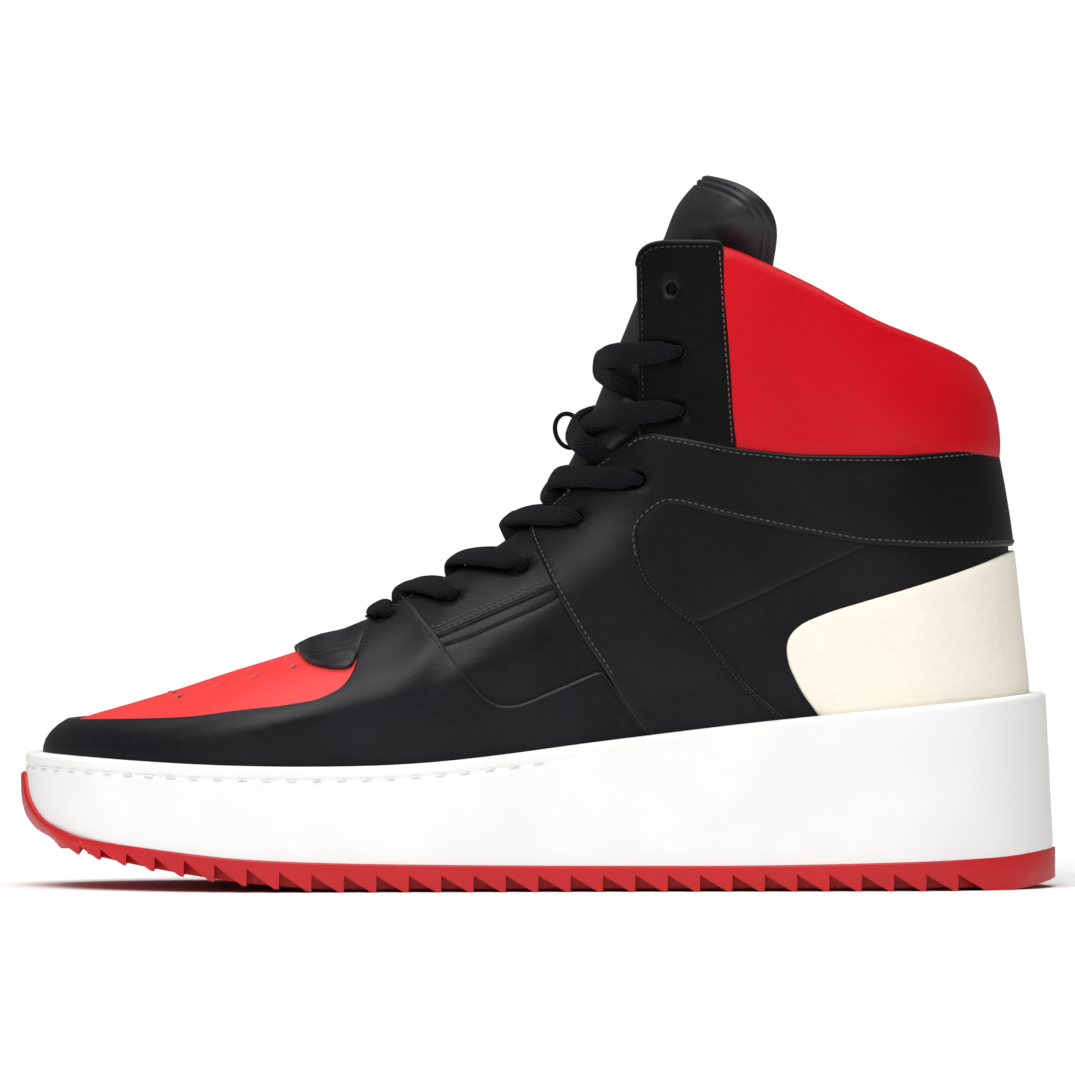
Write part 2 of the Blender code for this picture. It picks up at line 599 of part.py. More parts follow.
def build_overlays(looks):
    leather = looks["black_leather"]
    bottom = last_bottom_between(38.0, -165.0)
    guard = [(-165.0, 49.2)] + MUDGUARD_TOP + MUDGUARD_REAR + shifted(SADDLE_FRONT[6:9], -GAP, 0) + bottom
    first_holes = [eyelet_cutter("guard_holes_lateral", [0], 1), eyelet_cutter("guard_holes_medial", [0], -1)]
    panel("mudguard", leather, BOTTOM_REACH, 92, guard, OVER, cutters=[throat_cutter(), *first_holes])
    for side, word in ((1, "lateral"), (-1, "medial")):
        low = [(-38.6, 112.0), (-38.9, 87.2), (-33.7, 80.7), (-29.2, 75.5), (4.1, 90.4)]
        low += shifted(SADDLE_FRONT[2:4][::-1], -GAP, 0) + [(-2.2, 112.0)]
        panel(f"lower_eyestay_{word}", leather, 70, 114, low, OVER, -side,
              cutters=[throat_cutter(), eyelet_cutter(f"low_holes_{word}", [1, 2], side)])
        top = [(29.5, 187.0), (30.6, 191.2), (33.6, 193.6), (38.0, 194.4), (55.2, 194.4), (59.4, 133.0)]
        top += shifted(STRAP_TOP[5:], 0, 0.5) + [(29.5, 136.4)]
        panel(f"collar_eyestay_{word}", leather, 130, 196, top, OVER, -side,
              cutters=[eyelet_cutter(f"top_holes_{word}", [5, 6, 7], side)])
        panel(f"side_fin_{word}", leather, 76, 118, FIN, OVER, -side)
    strap = SADDLE_FRONT[:9] + last_bottom_between(38.0, 87.0) + SADDLE_REAR[1:] + STRAP_BOTTOM + STRAP_TOP
    strap += THROAT_EDGE
    holes = [eyelet_cutter("strap_holes_lateral", [3, 4], 1), eyelet_cutter("strap_holes_medial", [3, 4], -1)]
    panel("saddle_strap", leather, 32, 140, strap, OVER, cutters=[throat_cutter(), *holes])
    counter = COUNTER_EDGE + last_bottom_between(92.0, 165.0)
    panel("heel_counter", looks["cream_leather"], 32, 103, counter, OVER)
    panel("throat_tab", leather, 62, 84, TAB, OVER)


def build_inner_layers(looks):
    puff = [(-165.0, 90.0), (-114.0, 90.0)] + last_bottom_between(-106.0, -165.0)
    panel("toe_puff", looks["board"], BOTTOM_REACH, 64, puff, STIFF)
    heel = last_bottom_between(86.0, 165.0) + [(165.0, 96.0), (125.0, 92.0), (100.0, 76.0), (88.0, 56.0)]
    panel("heel_stiffener", looks["board"], 34, 98, heel, STIFF)
    back = shifted(FACING_BACK[:7], 0, -2.0)
    lining = [(-165.0, 100.0), (-53.5, 100.0)] + back + [(54.0, 124.5), (165.0, 124.5)]
    lining += last_bottom_between(165.0, -165.0)
    panel("lining", looks["lining"], BOTTOM_REACH, 126, lining, LINE, cutters=[throat_cutter(2.0)])
    edge = shifted(COLLAR_TOP, 0, -3.0)
    foam = [(58.0, 186.0)] + edge[1:] + [(165.0, COLLAR_BOTTOM), (58.0, COLLAR_BOTTOM)]
    panel("collar_foam", looks["foam"], 122, 190, foam, FOAM)
    inner = [(58.0, 188.0)] + shifted(COLLAR_TOP, 0, -1.2)[1:] + [(165.0, COLLAR_BOTTOM), (58.0, COLLAR_BOTTOM)]
    panel("collar_lining", looks["lining"], 122, 192, inner, COLLAR_LINE)


# ---- Tongue ----
TONGUE_BASE = 77.6
TONGUE_ARC = [(72, 15.0), (90, 23.0), (110, 31.0), (135, 43.0), (160, 51.0), (184, 58.0), (216, 61.0)]
TONGUE_CROWN = -3.1
TONGUE_RECESS = -(LEATHER + LACE_BELOW + LACE_DIAMETER + 3.6)
RECESS_WIDTH = 4.0 + LACE_DIAMETER / 0.65


def tongue_recess(arc, z):
    """How far the tongue lies under the lasted surface: crowned in the throat, sunk under the eyelet rows."""
    start = through(THROAT_ARC, z) - RECESS_WIDTH
    return TONGUE_CROWN + (TONGUE_RECESS - TONGUE_CROWN) * smooth_step((arc - start) / RECESS_WIDTH)


def tongue_point(along, across, depth):
    """A point of the tongue: along 0 at the vamp and 1 at the top edge, across from -1 to 1."""
    top = TONGUE_TOP - (TONGUE_TOP - TONGUE_SIDE_TOP) * abs(across) ** 3
    z = TONGUE_BASE + (top - TONGUE_BASE) * along
    arc = abs(across) * through(TONGUE_ARC, z)
    s = math.copysign(s_at_arc(arc, z, TONGUE_RIDGE), across)
    return skin(s, z, tongue_recess(arc, z) - depth, TONGUE_RIDGE)


def tongue_layer(name, near, far, look, rows=13, columns=13):
    def point(r, c, outer):
        return tongue_point(r, 2 * c - 1, near if outer else far)

    return sheet(name, point, rows, columns, look)


def build_tongue(looks):
    foam = LEATHER + GAP
    lining = foam + TONGUE_FOAM + GAP
    tongue_layer("tongue_outer", 0.0, LEATHER, looks["black_leather"])
    tongue_layer("tongue_foam", foam, foam + TONGUE_FOAM, looks["foam"])
    tongue_layer("tongue_lining", lining, lining + TONGUE_LINING, looks["lining"])


# ---- Lace ----
LACE_OVER = OVER[1] + 0.5 + LACE_DIAMETER / 2
LACE_UNDER = -(LEATHER + LACE_BELOW + LACE_DIAMETER / 2)
CROSS_LOW = LACE_DIAMETER / 2 + 0.5
CROSS_HIGH = CROSS_LOW + LACE_DIAMETER + 0.3
CROSSING_STEPS = 14
RISE = 5.5
EDGE_CLEARANCE = LACE_DIAMETER / 2 + 1.6
BEND = 1.5
BAR_RISE = 1.6
LACE_TOLERANCE = 0.24
# The lace's tail inside the collar: x, z and the drop below TAIL_LEVEL, where it would lie against the lining.
TAIL_LEVEL = LINE[0] - LACE_DIAMETER / 2
TAIL = [(43.5, 152.0, -1.4), (46.0, 143.0, -1.0), (45.0, 134.0, -0.6), (41.0, 126.0, 0.2), (36.0, 117.0, 0.7),
        (30.5, 108.0, 0.7)]
AGLET_END = (21.0, 94.0, 0.7)
AGLET_RADIUS = 1.55


def eyelet(n, side):
    x, z = EYELETS[n]
    return s_at_x(x, z, side), z


def at_arc(arc, z, offset):
    """A point this far round the ring from the ridge, positive to the lateral side."""
    return skin(math.copysign(s_at_arc(abs(arc), z), arc), z, offset)


def crossing(n, side, high):
    """Points from under eyelet n on one side, up through the throat and over the other edge to eyelet n + 1."""
    s0, z0 = eyelet(n, side)
    s1, z1 = eyelet(n + 1, -side)
    arc0, arc1 = arc_of(abs(s0), z0), -arc_of(abs(s1), z1)
    centre = CROSS_HIGH if high else CROSS_LOW
    points = []
    for k in range(1, CROSSING_STEPS):
        t = k / CROSSING_STEPS
        arc, z = arc0 + (arc1 - arc0) * t, z0 + (z1 - z0) * t
        edge = through(THROAT_ARC, z)
        if arc > 0:
            offset = LACE_UNDER + (centre - LACE_UNDER) * smooth_step((edge - EDGE_CLEARANCE - arc) / RISE)
        else:
            offset = centre + (LACE_OVER - centre) * smooth_step((-arc - edge + EDGE_CLEARANCE + 2 * RISE) / RISE)
        points.append(at_arc(side * arc, z, offset))
    return points


def through_eyelet(n, side, above, below):
    """Points down through an eyelet, from the last point above the leather towards the first point below it."""
    s, z = eyelet(n, side)
    middle = skin(s, z, 0.0)
    normal = skin(s, z, 1.0) - middle
    points = []
    for target, level, turn in ((above, LACE_OVER, -BEND), (below, LACE_UNDER, BEND)):
        across = target - middle
        across = (across - across.dot(normal) * normal).normalized()
        bend = [middle + across * BEND + normal * level,
                middle + across * BEND * 0.3 + normal * (level + turn * 0.3),
                middle + normal * (level + turn)]
        points += bend if turn < 0 else bend[::-1]
    return points


def tail_point(at, side):
    x, z, drop = at
    return skin(s_at_x(x, z, side), z, TAIL_LEVEL - drop)


def strand(first_side):
    """One half of the lace, from the middle of the first bar to its tail inside the collar."""
    side = first_side
    s, z = eyelet(0, side)
    arc = arc_of(abs(s), z)
    points = []
    for t in (0.3, 0.6, 0.85):
        height = z + BAR_RISE * (1 - t)
        offset = CROSS_LOW + (LACE_OVER - CROSS_LOW) * smooth_step(t / 0.6)
        points.append(at_arc(side * arc * t, height, offset))
    for n in range(LACED):
        if n < LACED - 1:
            onward = crossing(n, side, side == first_side and first_side > 0)
        else:
            onward = [tail_point(at, side) for at in TAIL]
        points += through_eyelet(n, side, points[-1], onward[0]) + onward
        side = -side
    return points, -side


def curved(points, steps=8):
    """A Catmull-Rom curve through the points."""
    line = []
    for i in range(len(points) - 1):
        a, b = points[max(i - 1, 0)], points[i]
        c, d = points[i + 1], points[min(i + 2, len(points) - 1)]
        for k in range(steps):
            t = k / steps
            line.append(0.5 * (2 * b + (c - a) * t + (2 * a - 5 * b + 4 * c - d) * t**2
                               + (3 * b - a - 3 * c + d) * t**3))
    return line + [points[-1]]


def fewest(line, tolerance):
    """The fewest points of a line that keep it within the tolerance (Douglas-Peucker)."""
    if len(line) < 3:
        return line
    along = (line[-1] - line[0]).normalized()
    away = [((p - line[0]) - (p - line[0]).dot(along) * along).length for p in line]
    far = max(range(len(line)), key=away.__getitem__)
    if away[far] <= tolerance:
        return [line[0], line[-1]]
    return fewest(line[:far + 1], tolerance)[:-1] + fewest(line[far:], tolerance)


def tube(name, line, diameter, look):
    data = bpy.data.curves.new(name, "CURVE")
    data.dimensions = "3D"
    data.bevel_depth = diameter / 2 * MM
    data.bevel_resolution = 1
    data.use_fill_caps = True
    spline = data.splines.new("POLY")
    spline.points.add(len(line) - 1)
    for point, at in zip(spline.points, line):
        point.co = (*(at * MM), 1)
    data.materials.append(look)
    obj = bpy.data.objects.new(name, data)
    bpy.context.scene.collection.objects.link(obj)
    return obj


def build_lace(looks):
    first, end_side = strand(1)
    second, other_side = strand(-1)
    tube("lace", fewest(curved(second[::-1] + first), LACE_TOLERANCE), LACE_DIAMETER, looks["lace"])
    for side in (end_side, other_side):
        start, end = tail_point(TAIL[-1], side), tail_point(AGLET_END, side)
        direction = (end - start).normalized()
        name = "aglet_lateral" if side > 0 else "aglet_medial"
        made = rod(name, start + direction * GAP, end, AGLET_RADIUS, 10)
        made.hide_render = False
        made.display_type = "TEXTURED"
        made.data.materials.append(looks["aglet"])


def grade():
    """Takes every finished solid and cutter from the sample size to SOLE_LENGTH and SHOE_HEIGHT."""
    for obj in bpy.data.objects:
        obj.scale = (SOLE_LENGTH / SAMPLE_LENGTH, 1.0, SHOE_HEIGHT / SAMPLE_HEIGHT)


def main():
    clear_scene()
    looks = {
        "black_leather": material("black_leather", BLACK, 0.5),
        "red_leather": material("red_leather", RED, 0.45),
        "cream_leather": material("cream_leather", CREAM, 0.5),
        "red_rubber": material("red_rubber", RED, 0.55),
        "white_rubber": material("white_rubber", WHITE, 0.5),
        "lining": material("lining", (0.02, 0.02, 0.022), 0.8),
        "foam": material("foam", (0.75, 0.73, 0.6), 0.9),
        "eva": material("eva", (0.8, 0.8, 0.78), 0.8),
        "board": material("board", (0.7, 0.66, 0.56), 0.9),
        "insole": material("insole", (0.03, 0.03, 0.033), 0.8),
        "steel": material("steel", (0.5, 0.5, 0.52), 0.3, 1.0),
        "lace": material("lace", (0.01, 0.01, 0.012), 0.9),
        "aglet": material("aglet", (0.02, 0.02, 0.02), 0.3),
    }
    build_sole_unit(looks)
    build_base_layer(looks)
    build_overlays(looks)
    build_inner_layers(looks)
    build_tongue(looks)
    build_lace(looks)
    grade()


main()
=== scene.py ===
"""The look of a left basketball high top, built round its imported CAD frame.

The toe points to -X, the outer side is -Y and +Z is up. Shapes are worked out in millimetres.
"""

import math

import bpy
import numpy as np
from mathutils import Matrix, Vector, geometry, kdtree


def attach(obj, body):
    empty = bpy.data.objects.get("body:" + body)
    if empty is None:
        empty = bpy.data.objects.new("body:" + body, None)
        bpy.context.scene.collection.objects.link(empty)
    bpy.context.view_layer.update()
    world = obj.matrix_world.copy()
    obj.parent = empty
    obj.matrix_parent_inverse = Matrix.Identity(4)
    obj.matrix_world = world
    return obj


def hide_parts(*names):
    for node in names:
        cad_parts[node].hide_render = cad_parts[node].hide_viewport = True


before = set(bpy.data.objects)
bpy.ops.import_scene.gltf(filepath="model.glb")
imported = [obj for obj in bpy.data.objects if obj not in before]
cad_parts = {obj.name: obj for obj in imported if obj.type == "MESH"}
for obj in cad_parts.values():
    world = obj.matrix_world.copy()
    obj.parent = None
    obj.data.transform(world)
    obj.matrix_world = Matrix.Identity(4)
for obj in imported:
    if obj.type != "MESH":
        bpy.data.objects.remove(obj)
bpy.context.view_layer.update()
SHOE, TONGUE, INSOLE = "shoe", "tongue", "insole"
MM = 0.001

# ---- The sizes and curves of the CAD model, in millimetres ----
TOE_X, HEEL_X = -155.5, 155.5
TOE_ROUND, HEEL_ROUND = 70.0, 46.0
HEEL_DRAFT, SIDE_DRAFT, DRAFT_HEIGHT = 3.2, 2.0, 60.0
CUP_WALL, TOE_WALL, UPPER_CLEARANCE = 4.2, 5.4, 0.9
LEATHER, GAP = 1.4, 0.35
OVERLAY = LEATHER + GAP
UPPER_INSET = CUP_WALL + UPPER_CLEARANCE + OVERLAY
TOE_INSIDE = TOE_X + TOE_WALL + UPPER_CLEARANCE + OVERLAY
HEEL_INSIDE = HEEL_X - HEEL_DRAFT - UPPER_INSET
SOLE_HALF = [(-155, 52.0), (-80, 55.0), (-40, 51.0), (20, 45.5), (70, 44.0), (120, 42.5), (156, 42.5)]
CENTRE_LINE = [(-156, 6.5), (-100, 1.0), (-60, -0.5), (10, -2.5), (70, -1.5), (120, -0.5), (156, -0.5)]
RIM_HEIGHT = [(-156, 40.6), (-100, 37.9), (-55, 37.6), (-25, 39.4), (20, 45.0), (66, 50.4), (110, 54.6),
              (156, 58.8)]
OUTSOLE_TOP = [(-143, 16.8), (-137, 15.4), (-117, 12.9), (-87, 9.9), (-42, 8.4), (48, 7.8), (93, 8.3),
               (138, 9.9), (156, 12.0)]
BUMPER_BACK = [(16.8, -143), (20.6, -149.2), (25.4, -151.9), (30.0, -153.0), (34.2, -153.4)]
LAST_BOTTOM = [(-156, 28.0), (-120, 26.0), (-70, 26.0), (-20, 29.5), (30, 35.0), (90, 40.5), (156, 42.5)]
RIDGE = [(20, TOE_INSIDE), (41, TOE_INSIDE), (44.5, TOE_INSIDE + 1.2), (48.0, -142.4), (50.7, -136.6),
         (53.4, -128.0), (57.6, -115.0), (62.0, -100.0), (66.4, -86.0), (71.4, -71.0), (76.6, -58.6),
         (82.5, -46.8), (89.0, -34.8), (96.0, -23.0), (103.5, -11.6), (113.0, -1.0), (126.0, 8.0),
         (140.0, 14.8), (152.0, 18.0), (164.0, 19.0), (216.0, 19.0)]
TONGUE_RIDGE = RIDGE[:16] + [(126.0, 7.4), (140.0, 13.5), (152.0, 18.6), (164.0, 23.4), (176.0, 28.2),
                             (188.0, 33.0), (197.0, 37.6), (207.0, 43.4), (216.0, 50.0)]
HEEL_LINE = [(20, HEEL_INSIDE), (50, HEEL_INSIDE), (59, HEEL_INSIDE), (80, 143.6), (101, 141.4), (118, 139.0),
             (134, 136.0), (146, 133.6), (155, 130.6), (165, 126.0), (216, 110.0)]
FRONT_ROUND = [(20, TOE_ROUND - 4), (45, TOE_ROUND - 6), (60, 74.0), (80, 58.0), (104, 47.0), (126, 42.0),
               (150, 39.0), (216, 38.0)]
REAR_ROUND = [(20, HEEL_ROUND - UPPER_INSET), (60, HEEL_ROUND - UPPER_INSET), (110, 36.0), (150, 38.0),
              (216, 40.0)]
# The front of the sole in side view, (z, x): a ridge for the sole's wall instead of the lasted surface.
SOLE_WALL = [(10.8, -138.4), (13.4, -142.0), (15.9, -145.4), (18.0, -149.7), (20.4, -152.0), (22.8, -153.3),
             (27.0, -154.2), (34.0, -154.4), (60.0, -153.8)]
TOE_EDGE, TOE_TUCK = -154.4, 8.0
ANKLE_HALF, ANKLE_START, ANKLE_FULL = 33.5, 48.0, 128.0
THROAT_HALF, THROAT_SPREAD, THROAT_Z = 11.5, 0.075, 76.0
EYELETS = [(-44.3, 80.6), (-25.0, 86.6), (-4.4, 96.3), (12.0, 110.1), (30.2, 122.4), (42.2, 143.4),
           (41.9, 161.1), (40.0, 179.7)]
LACED = 7
EYELET_RADIUS = 2.1
TOOTH_PITCH, TOOTH_DEPTH, TOOTH_FLAT, TOOTH_COUNT, TREAD_REAR = 9.65, 4.9, 1.4, 25, 124.0

# ---- Panel outlines in the side view, (x, z) in millimetres ----
MUDGUARD_TOP = [(-150.0, 48.9), (-137.6, 49.2), (-125.6, 49.8), (-101.6, 51.3), (-77.6, 54.3), (-65.6, 56.6),
                (-58.4, 60.0), (-54.8, 65.0), (-52.8, 72.5), (-51.2, 78.0), (-50.7, 80.0)]
MUDGUARD_REAR = [(-39.4, 87.0), (-34.2, 80.4), (-29.6, 75.0), (-23.0, 65.4), (-17.6, 58.6), (-12.0, 55.2),
                 (-5.5, 55.6), (18.6, 66.0)]
SADDLE_FRONT = [(0.5, 111.2), (-1.7, 108.8), (-1.9, 105.6), (0.0, 100.5), (4.8, 90.0), (12.8, 76.3),
                (19.3, 66.7), (24.9, 57.2), (32.0, 46.5), (39.0, 37.0)]
SADDLE_REAR = [(88.0, 38.0), (75.5, 49.8), (62.0, 61.5), (55.0, 69.9), (48.3, 79.8), (38.0, 87.3),
               (32.2, 94.0), (30.2, 101.0), (29.8, 107.2)]
STRAP_BOTTOM = [(33.5, 112.0), (38.0, 115.4), (43.0, 115.0), (54.5, 112.0), (75.5, 107.4), (96.5, 103.6),
                (120.5, 102.3), (160.0, 102.3)]
STRAP_TOP = [(160.0, 132.5), (138.5, 132.2), (108.5, 130.0), (78.5, 130.2), (59.0, 132.3), (45.5, 134.9),
             (35.0, 136.8)]
THROAT_EDGE = [(30.2, 135.8), (21.8, 129.4), (13.7, 123.0), (7.6, 116.4), (2.0, 111.2)]
FACING_BACK = [(-52.0, 67.0), (-44.0, 68.0), (-20.0, 76.0), (3.0, 86.0), (20.0, 100.0), (40.0, 113.0),
               (53.0, 128.0), (54.4, 136.0), (54.4, 189.0)]
COUNTER_EDGE = [(160.0, 101.0), (141.5, 101.0), (134.0, 97.8), (123.5, 94.2), (108.5, 89.6), (87.5, 83.4),
                (79.0, 80.0), (75.0, 76.6), (73.8, 72.8), (74.8, 67.0), (78.5, 59.4), (84.5, 51.0),
                (92.0, 41.5)]
TAB = [(-72.6, 72.4), (-71.4, 69.6), (-68.6, 67.2), (-61.5, 65.8), (-55.4, 66.0), (-53.2, 72.7),
       (-51.2, 78.2), (-49.5, 82.0)]


def smooth_step(t):
    t = np.clip(t, 0.0, 1.0)
    return t * t * (3 - 2 * t)


def through(knots, at):
    """The values at `at` of a smooth curve through the knots, flat past both ends."""
    xs, ys = np.array(knots, float).T
    at = np.clip(np.asarray(at, float), xs[0], xs[-1])
    steps = np.diff(ys) / np.diff(xs)
    slopes = np.concatenate([steps[:1], (ys[2:] - ys[:-2]) / (xs[2:] - xs[:-2]), steps[-1:]])
    i = np.clip(np.searchsorted(xs, at) - 1, 0, len(xs) - 2)
    span = xs[i + 1] - xs[i]
    t = (at - xs[i]) / span
    return ((2 * t**3 - 3 * t**2 + 1) * ys[i] + (t**3 - 2 * t**2 + t) * slopes[i] * span
            + (3 * t**2 - 2 * t**3) * ys[i + 1] + (t**3 - t**2) * slopes[i + 1] * span)


def rounded(distance, radius):
    """Height of a quarter ellipse, 0 at its end and 1 from `radius` on."""
    u = np.clip(distance / radius, 0.0, 1.0)
    return np.sqrt(np.maximum(0.0, 1 - (1 - u) ** 2))


# ---- The lasted surface: rings from the ridge (s = 0) by the outer side to the heel (s = 1) and back ----
def along_ring(s, front, rear):
    """x at the ring fraction s, and the sign of its side."""
    x = front + (rear - front) * (1 - np.cos(math.pi * s)) / 2
    return x, np.where(np.sin(math.pi * s) >= 0, -1.0, 1.0)


def ring(s, z, ridge=RIDGE):
    s, z = np.broadcast_arrays(np.asarray(s, float), np.asarray(z, float))
    if ridge is SOLE_WALL:
        return sole_wall(s, z)
    front, rear = through(ridge, z), through(HEEL_LINE, z)
    x, side = along_ring(s, front, rear)
    base = through(SOLE_HALF, x) - UPPER_INSET - SIDE_DRAFT * np.minimum(z, DRAFT_HEIGHT) / DRAFT_HEIGHT
    width = base + (ANKLE_HALF - base) * smooth_step((z - ANKLE_START) / (ANKLE_FULL - ANKLE_START))
    width = width * rounded(x - front, through(FRONT_ROUND, z)) * rounded(rear - x, through(REAR_ROUND, z))
    return np.stack([x, through(CENTRE_LINE, x) + side * width, z], -1)


def sole_wall(s, z, inset=0.0):
    """The outer wall of the sole, drawn in by `inset`."""
    draft = np.clip(z, 0.0, DRAFT_HEIGHT) / DRAFT_HEIGHT
    front = TOE_EDGE + inset * TOE_WALL / CUP_WALL
    rear = HEEL_X - HEEL_DRAFT * draft - inset
    x, side = along_ring(s, front, rear)
    half = through(SOLE_HALF, x) - inset - SIDE_DRAFT * draft
    half = half * rounded(x - front, TOE_ROUND - inset) * rounded(rear - x, HEEL_ROUND - inset)
    y = through(CENTRE_LINE, x) + side * half
    tuck = (through(SOLE_WALL, z) - TOE_EDGE) * np.exp(-np.maximum(x - front, 0) / TOE_TUCK)
    return np.stack([x + tuck, y, z + 0 * x], -1)


def between(where, walked, values):
    """The rows of `values` at these distances along a line."""
    return np.stack([np.interp(where, walked, values[:, k]) for k in range(values.shape[1])], -1)


def walk(points):
    """The distance walked at each of the points."""
    return np.concatenate([[0], np.cumsum(np.linalg.norm(np.diff(points, axis=0), axis=1))])


def unit(v):
    return v / np.maximum(np.linalg.norm(v, axis=-1, keepdims=True), 1e-9)


def slopes_at(s, z, ridge=RIDGE):
    """The surface's two tangents, per unit of s and of z."""
    ds, dz = 0.004, 0.4
    return ((ring(s + ds, z, ridge) - ring(s - ds, z, ridge)) / (2 * ds),
            (ring(s, z + dz, ridge) - ring(s, z - dz, ridge)) / (2 * dz))


def normal_at(s, z, ridge=RIDGE):
    around, up = slopes_at(s, z, ridge)
    return unit(-np.cross(up, around))


def skin(s, z, offset, ridge=RIDGE):
    """Points `offset` outside the surface."""
    offset = np.asarray(offset, float)
    return ring(s, z, ridge) + offset[..., None] * normal_at(s, z, ridge)


def s_at(x, z, ridge=RIDGE):
    """The ring fraction on the outer side at x, held to the ring's two ends."""
    front, rear = through(ridge, z), through(HEEL_LINE, z)
    if ridge is SOLE_WALL:
        front = TOE_EDGE
        rear = HEEL_X - HEEL_DRAFT * np.clip(z, 0.0, DRAFT_HEIGHT) / DRAFT_HEIGHT
    return np.arccos(1 - 2 * np.clip((x - front) / (rear - front), 0.0, 1.0)) / math.pi


FINE = np.linspace(0, 1, 801)


def s_at_arcs(arcs, z, ridge=RIDGE):
    """The ring fractions that lie these distances round from the ridge, at one height."""
    return np.interp(arcs, walk(ring(FINE, z, ridge)), FINE)


def arc_at(s, z):
    """The distance round from the ridge to the ring fraction s."""
    return np.interp(s, FINE, walk(ring(FINE, z)))


def throat_half(z):
    return THROAT_HALF + THROAT_SPREAD * (z - THROAT_Z)


def throat_s(z):
    """The ring fraction of the throat's edge at height z."""
    wide = -ring(FINE[:400], z)[:, 1] > throat_half(z)
    s = FINE[np.argmax(wide)]
    if z > THROAT_EDGE[-1][1]:
        xs, zs = np.array(THROAT_EDGE[::-1]).T
        s = max(s, float(s_at(np.interp(z, zs, xs), z)))
    return s


THROAT_TABLE = [(z, throat_s(z)) for z in np.arange(70.0, 200.0, 2.0)]
THROAT_ARCS = [(z, float(arc_at(s, z))) for z, s in THROAT_TABLE]


# ---- Outlines in the (s, z) plane ----
def dense(points, step=0.8):
    """The polyline with a point at every step."""
    points = np.asarray(points, float)
    out = [points[:1]]
    for a, b in zip(points, points[1:]):
        n = max(1, int(np.ceil(np.linalg.norm(b - a) / step)))
        out.append(a + (b - a) * (np.arange(1, n + 1) / n)[:, None])
    return np.concatenate(out)


def eased(points, passes=10):
    """The polyline with its corners rounded."""
    points = np.array(points, float)
    for _ in range(passes):
        points[1:-1] = (points[:-2] + 2 * points[1:-1] + points[2:]) / 4
    return points


def on_ring(points, ridge=RIDGE):
    """Side-view points as (s, z) on the outer side."""
    points = np.asarray(points, float)
    return np.stack([s_at(points[:, 0], points[:, 1], ridge), points[:, 1]], -1)


def trace(*runs):
    """Side-view runs joined, made dense and rounded, as (s, z)."""
    return on_ring(eased(dense(np.concatenate([np.asarray(r, float) for r in runs]))))


def throat_run(z0, z1):
    """The throat's edge from z0 to z1 as (s, z)."""
    z = np.linspace(z0, z1, max(2, int(abs(z1 - z0) / 0.6)))
    return np.stack([np.interp(z, *np.array(THROAT_TABLE).T), z], -1)


def sole_run(x0, x1, lift=3.0):
    """Along the last's bottom from x0 to x1, hidden in the cup, as (s, z)."""
    x = np.linspace(x0, x1, max(2, int(abs(x1 - x0) / 2)))
    return on_ring(np.stack([x, through(LAST_BOTTOM, x) + lift], -1))


def about_toe(outer):
    """A loop that is the same on both sides of the ridge, from its outer half."""
    return np.concatenate([outer, (outer * (-1, 1))[::-1]])


def about_heel(outer):
    """A loop that is the same on both sides of the heel, from its outer half."""
    return np.concatenate([outer, ((2, 0) + outer * (-1, 1))[::-1]])


def other_side(outer):
    return outer * (-1, 1)


def even(loop, step, ridge=RIDGE):
    """The closed loop with points evenly spaced over the surface."""
    for _ in range(2):
        closed = np.concatenate([loop, loop[:1]])
        at = ring(closed[:, 0], closed[:, 1], ridge)
        walked = walk(at)
        keep = np.concatenate([[True], np.diff(walked) > 1e-6])
        n = max(8, int(walked[-1] / step))
        where = np.linspace(0, walked[-1], n, endpoint=False)
        loop = between(where, walked[keep], closed[keep])
    return loop


def inward(loop, distance, ridge=RIDGE, clockwise=False):
    """The loop moved this far over the surface, to its inner side."""
    at = ring(loop[:, 0], loop[:, 1], ridge)
    along = unit(np.roll(at, -1, 0) - np.roll(at, 1, 0))
    around, up = slopes_at(loop[:, 0], loop[:, 1], ridge)
    area = np.sum(loop[:, 0] * np.roll(loop[:, 1], -1) - loop[:, 1] * np.roll(loop[:, 0], -1))
    across = np.cross(along, unit(-np.cross(up, around))) * (-1 if area > 0 else 1)
    push = across * distance * (-1 if clockwise else 1)
    a, b, c = (np.sum(p * q, -1) for p, q in ((around, around), (around, up), (up, up)))
    e, f = np.sum(around * push, -1), np.sum(up * push, -1)
    det = np.maximum(a * c - b * b, 1e-6)
    return loop + np.stack([(c * e - b * f) / det, (a * f - b * e) / det], -1)


def within(points, loop):
    """Whether each point lies inside the closed loop."""
    inside = np.zeros(len(points), bool)
    x, y = points.T
    for (x0, y0), (x1, y1) in zip(loop, np.roll(loop, -1, 0)):
        if y0 == y1:
            continue
        crosses = (y0 > y) != (y1 > y)
        inside ^= crosses & (x < (x1 - x0) * (y - y0) / (y1 - y0) + x0)
    return inside


def circle_on(s, z, radius, count=20):
    """A round hole on the surface as a loop of (s, z)."""
    around, up = (v[0] for v in slopes_at(np.array([s]), np.array([z])))
    n = unit(np.cross(up, around))
    e1 = unit(around)
    e2 = np.cross(n, e1)
    angles = np.linspace(0, 2 * math.pi, count, endpoint=False)
    push = radius * (np.cos(angles)[:, None] * e1 + np.sin(angles)[:, None] * e2)
    metric = np.array([[around @ around, around @ up], [around @ up, up @ up]])
    return np.array([s, z]) + np.linalg.solve(metric, np.stack([push @ around, push @ up])).T


# ---- Leather panels ----
# One turn of s counts as this many millimetres wherever (s, z) is measured as a plane.
SPREAD = 150.0


def undulation(at):
    """Slow waves of a few tenths of a millimetre, as leather over a last shows."""
    x, y, z = at.T
    return (0.28 * np.sin(x / 17.0 + 0.6 * np.sin(z / 13.0)) * np.sin(z / 15.0 + x / 41.0)
            + 0.14 * np.sin(x / 7.3 + z / 9.1 + 1.3))


